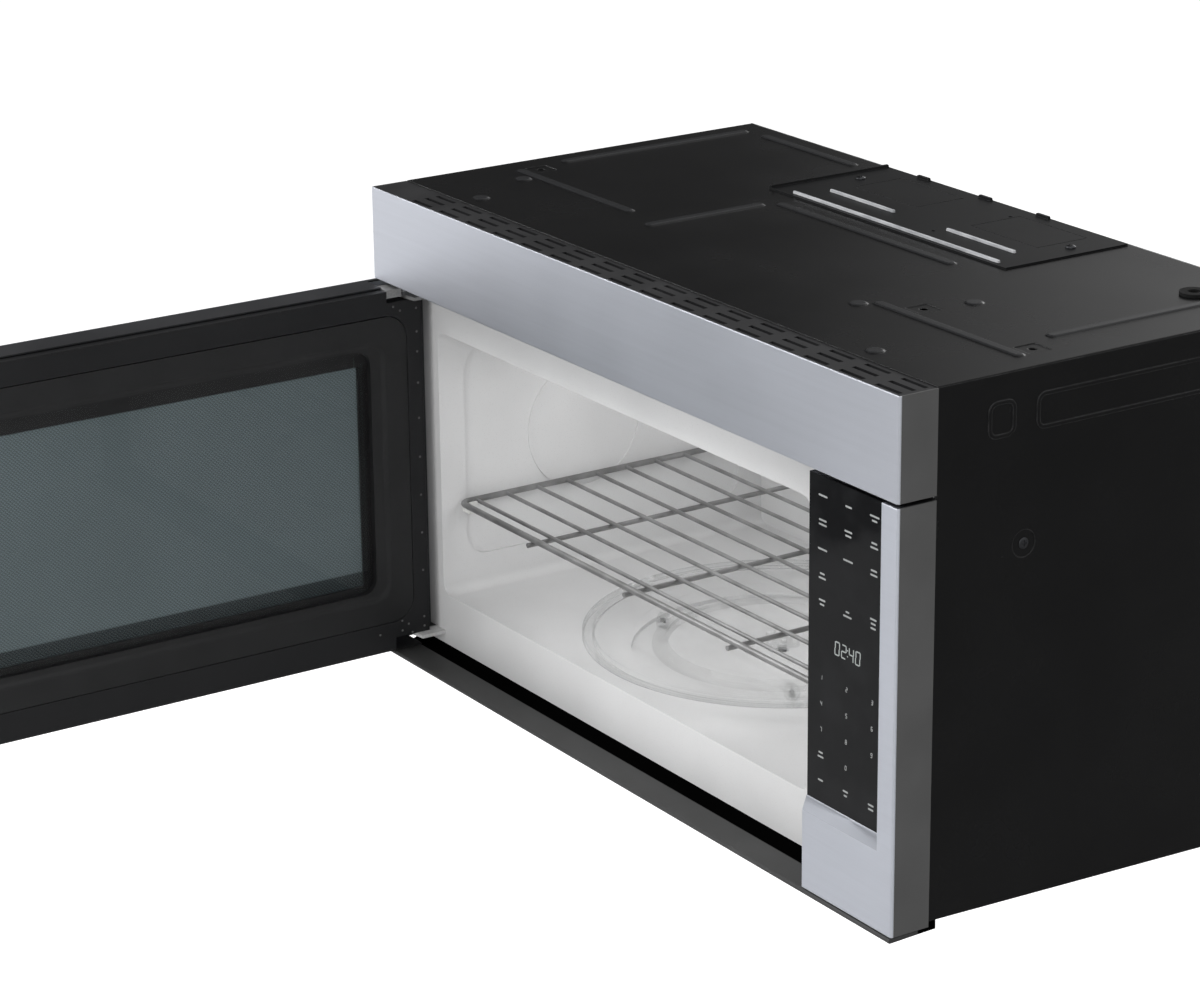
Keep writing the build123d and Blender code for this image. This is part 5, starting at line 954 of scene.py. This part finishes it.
AMBIENT_LEVEL = 0.50
MIRRORED_LEVEL = 1.0
SCREEN_LEVEL = 0.06
SCREEN_HEADING = math.radians(75)       # from the back towards the left
SCREEN_REACH = math.radians(21.5)       # to each side of its heading
SCREEN_FADE = math.radians(31.5)        # where it has faded out


def studio_world():
    """White for the camera, softer as light, and with a dark screen that mirrors show.

    The screen stands behind the left end, at every height, and the black top reflects it.
    """
    world = bpy.data.worlds.new("studio")
    world.use_nodes = True
    tree = world.node_tree

    def vector_step(operation, first, second=(0.0, 0.0, 0.0)):
        return add_node(tree, "ShaderNodeVectorMath", {0: first, 1: second}, operation=operation)

    def between(value, start, end, low, high):
        inputs = {"Value": value, "From Min": start, "From Max": end, "To Min": low, "To Max": high}
        return add_node(tree, "ShaderNodeMapRange", inputs).outputs["Result"]

    paths = add_node(tree, "ShaderNodeLightPath").outputs
    direction = add_node(tree, "ShaderNodeTexCoord").outputs["Generated"]
    level_part = vector_step("MULTIPLY", direction, (1.0, 1.0, 0.0)).outputs["Vector"]
    heading = vector_step("NORMALIZE", level_part).outputs["Vector"]
    screen_way = (-math.sin(SCREEN_HEADING), math.cos(SCREEN_HEADING), 0.0)
    toward_screen = vector_step("DOT_PRODUCT", heading, screen_way).outputs["Value"]
    fade_start, fade_end = math.cos(SCREEN_FADE), math.cos(SCREEN_REACH)
    mirror_level = between(toward_screen, fade_start, fade_end, MIRRORED_LEVEL, SCREEN_LEVEL)
    mirror_paths = {0: paths["Is Glossy Ray"], 1: paths["Is Transmission Ray"]}
    in_mirror = add_node(tree, "ShaderNodeMath", mirror_paths, operation="MAXIMUM").outputs[0]
    unseen_level = between(in_mirror, 0.0, 1.0, AMBIENT_LEVEL, mirror_level)
    level = between(paths["Is Camera Ray"], 0.0, 1.0, unseen_level, 1.0)
    background = tree.nodes["Background"]
    background.inputs["Color"].default_value = (1.0, 1.0, 1.0, 1.0)
    tree.links.new(level, background.inputs["Strength"])
    return world


bpy.context.scene.world = studio_world()


def lamp(name, place, target, width, height, power):
    """A soft rectangular lamp aimed at a place."""
    light = bpy.data.lights.new(name, "AREA")
    light.shape = "RECTANGLE"
    light.size = width
    light.size_y = height
    light.energy = power
    holder = bpy.data.objects.new(name, light)
    holder.location = place
    holder.rotation_euler = (Vector(target) - Vector(place)).to_track_quat("-Z", "Y").to_euler()
    bpy.context.scene.collection.objects.link(holder)
    return holder


lamp("key", (-1.6, -2.2, 2.6), (0.0, -0.2, 0.0), 2.0, 2.0, 60)
lamp("fill", (2.6, -1.8, 1.4), (0.1, -0.2, 0.0), 2.0, 1.6, 14)
lamp("rib_light", (-2.5, -1.68, 1.47), (0.1, -0.1, 0.22), 0.5, 0.5, 12)
lamp("back_light", (-1.2, 2.8, 1.25), (0.2, -0.1, 0.2), 0.9, 0.6, 10)
# a soft light under the oven's ceiling, out of sight
ceiling_spot = at(300, 215, 133)
oven_light = lamp("oven_light", ceiling_spot, ceiling_spot - Vector(UP), 0.40, 0.26, 0.54)
# and one in front of it, which the steel doesn't mirror
front_light = lamp("front_light", (-0.1, -1.3, -0.02), (-0.10, -0.1, -0.04), 0.9, 0.5, 3.4)
for unseen in (oven_light, front_light):
    unseen.visible_camera = False
    unseen.visible_glossy = False

# the camera fitted to the photograph, without lens shift
CAMERA_PLACE = (2.4417, -2.01437, 1.03512)
TURN, TILT, ROLL = 0.99256, 0.32844, -0.0108        # radians
LENS, SENSOR_WIDTH = 113.6, 36.0
forward = Vector((-math.sin(TURN) * math.cos(TILT), math.cos(TURN) * math.cos(TILT), -math.sin(TILT)))
level_right = Vector((math.cos(TURN), math.sin(TURN), 0.0))
level_up = level_right.cross(forward)
right = level_right * math.cos(ROLL) + level_up * math.sin(ROLL)
upward = level_up * math.cos(ROLL) - level_right * math.sin(ROLL)
camera_data = bpy.data.cameras.new("camera")
camera_data.sensor_width = SENSOR_WIDTH
camera_data.lens = LENS
camera = bpy.data.objects.new("camera", camera_data)
facing_object = Matrix((right, upward, -forward)).transposed().to_4x4()
camera.matrix_world = Matrix.Translation(CAMERA_PLACE) @ facing_object
bpy.context.scene.collection.objects.link(camera)
bpy.context.scene.camera = camera
bpy.context.scene.view_settings.view_transform = "Standard"
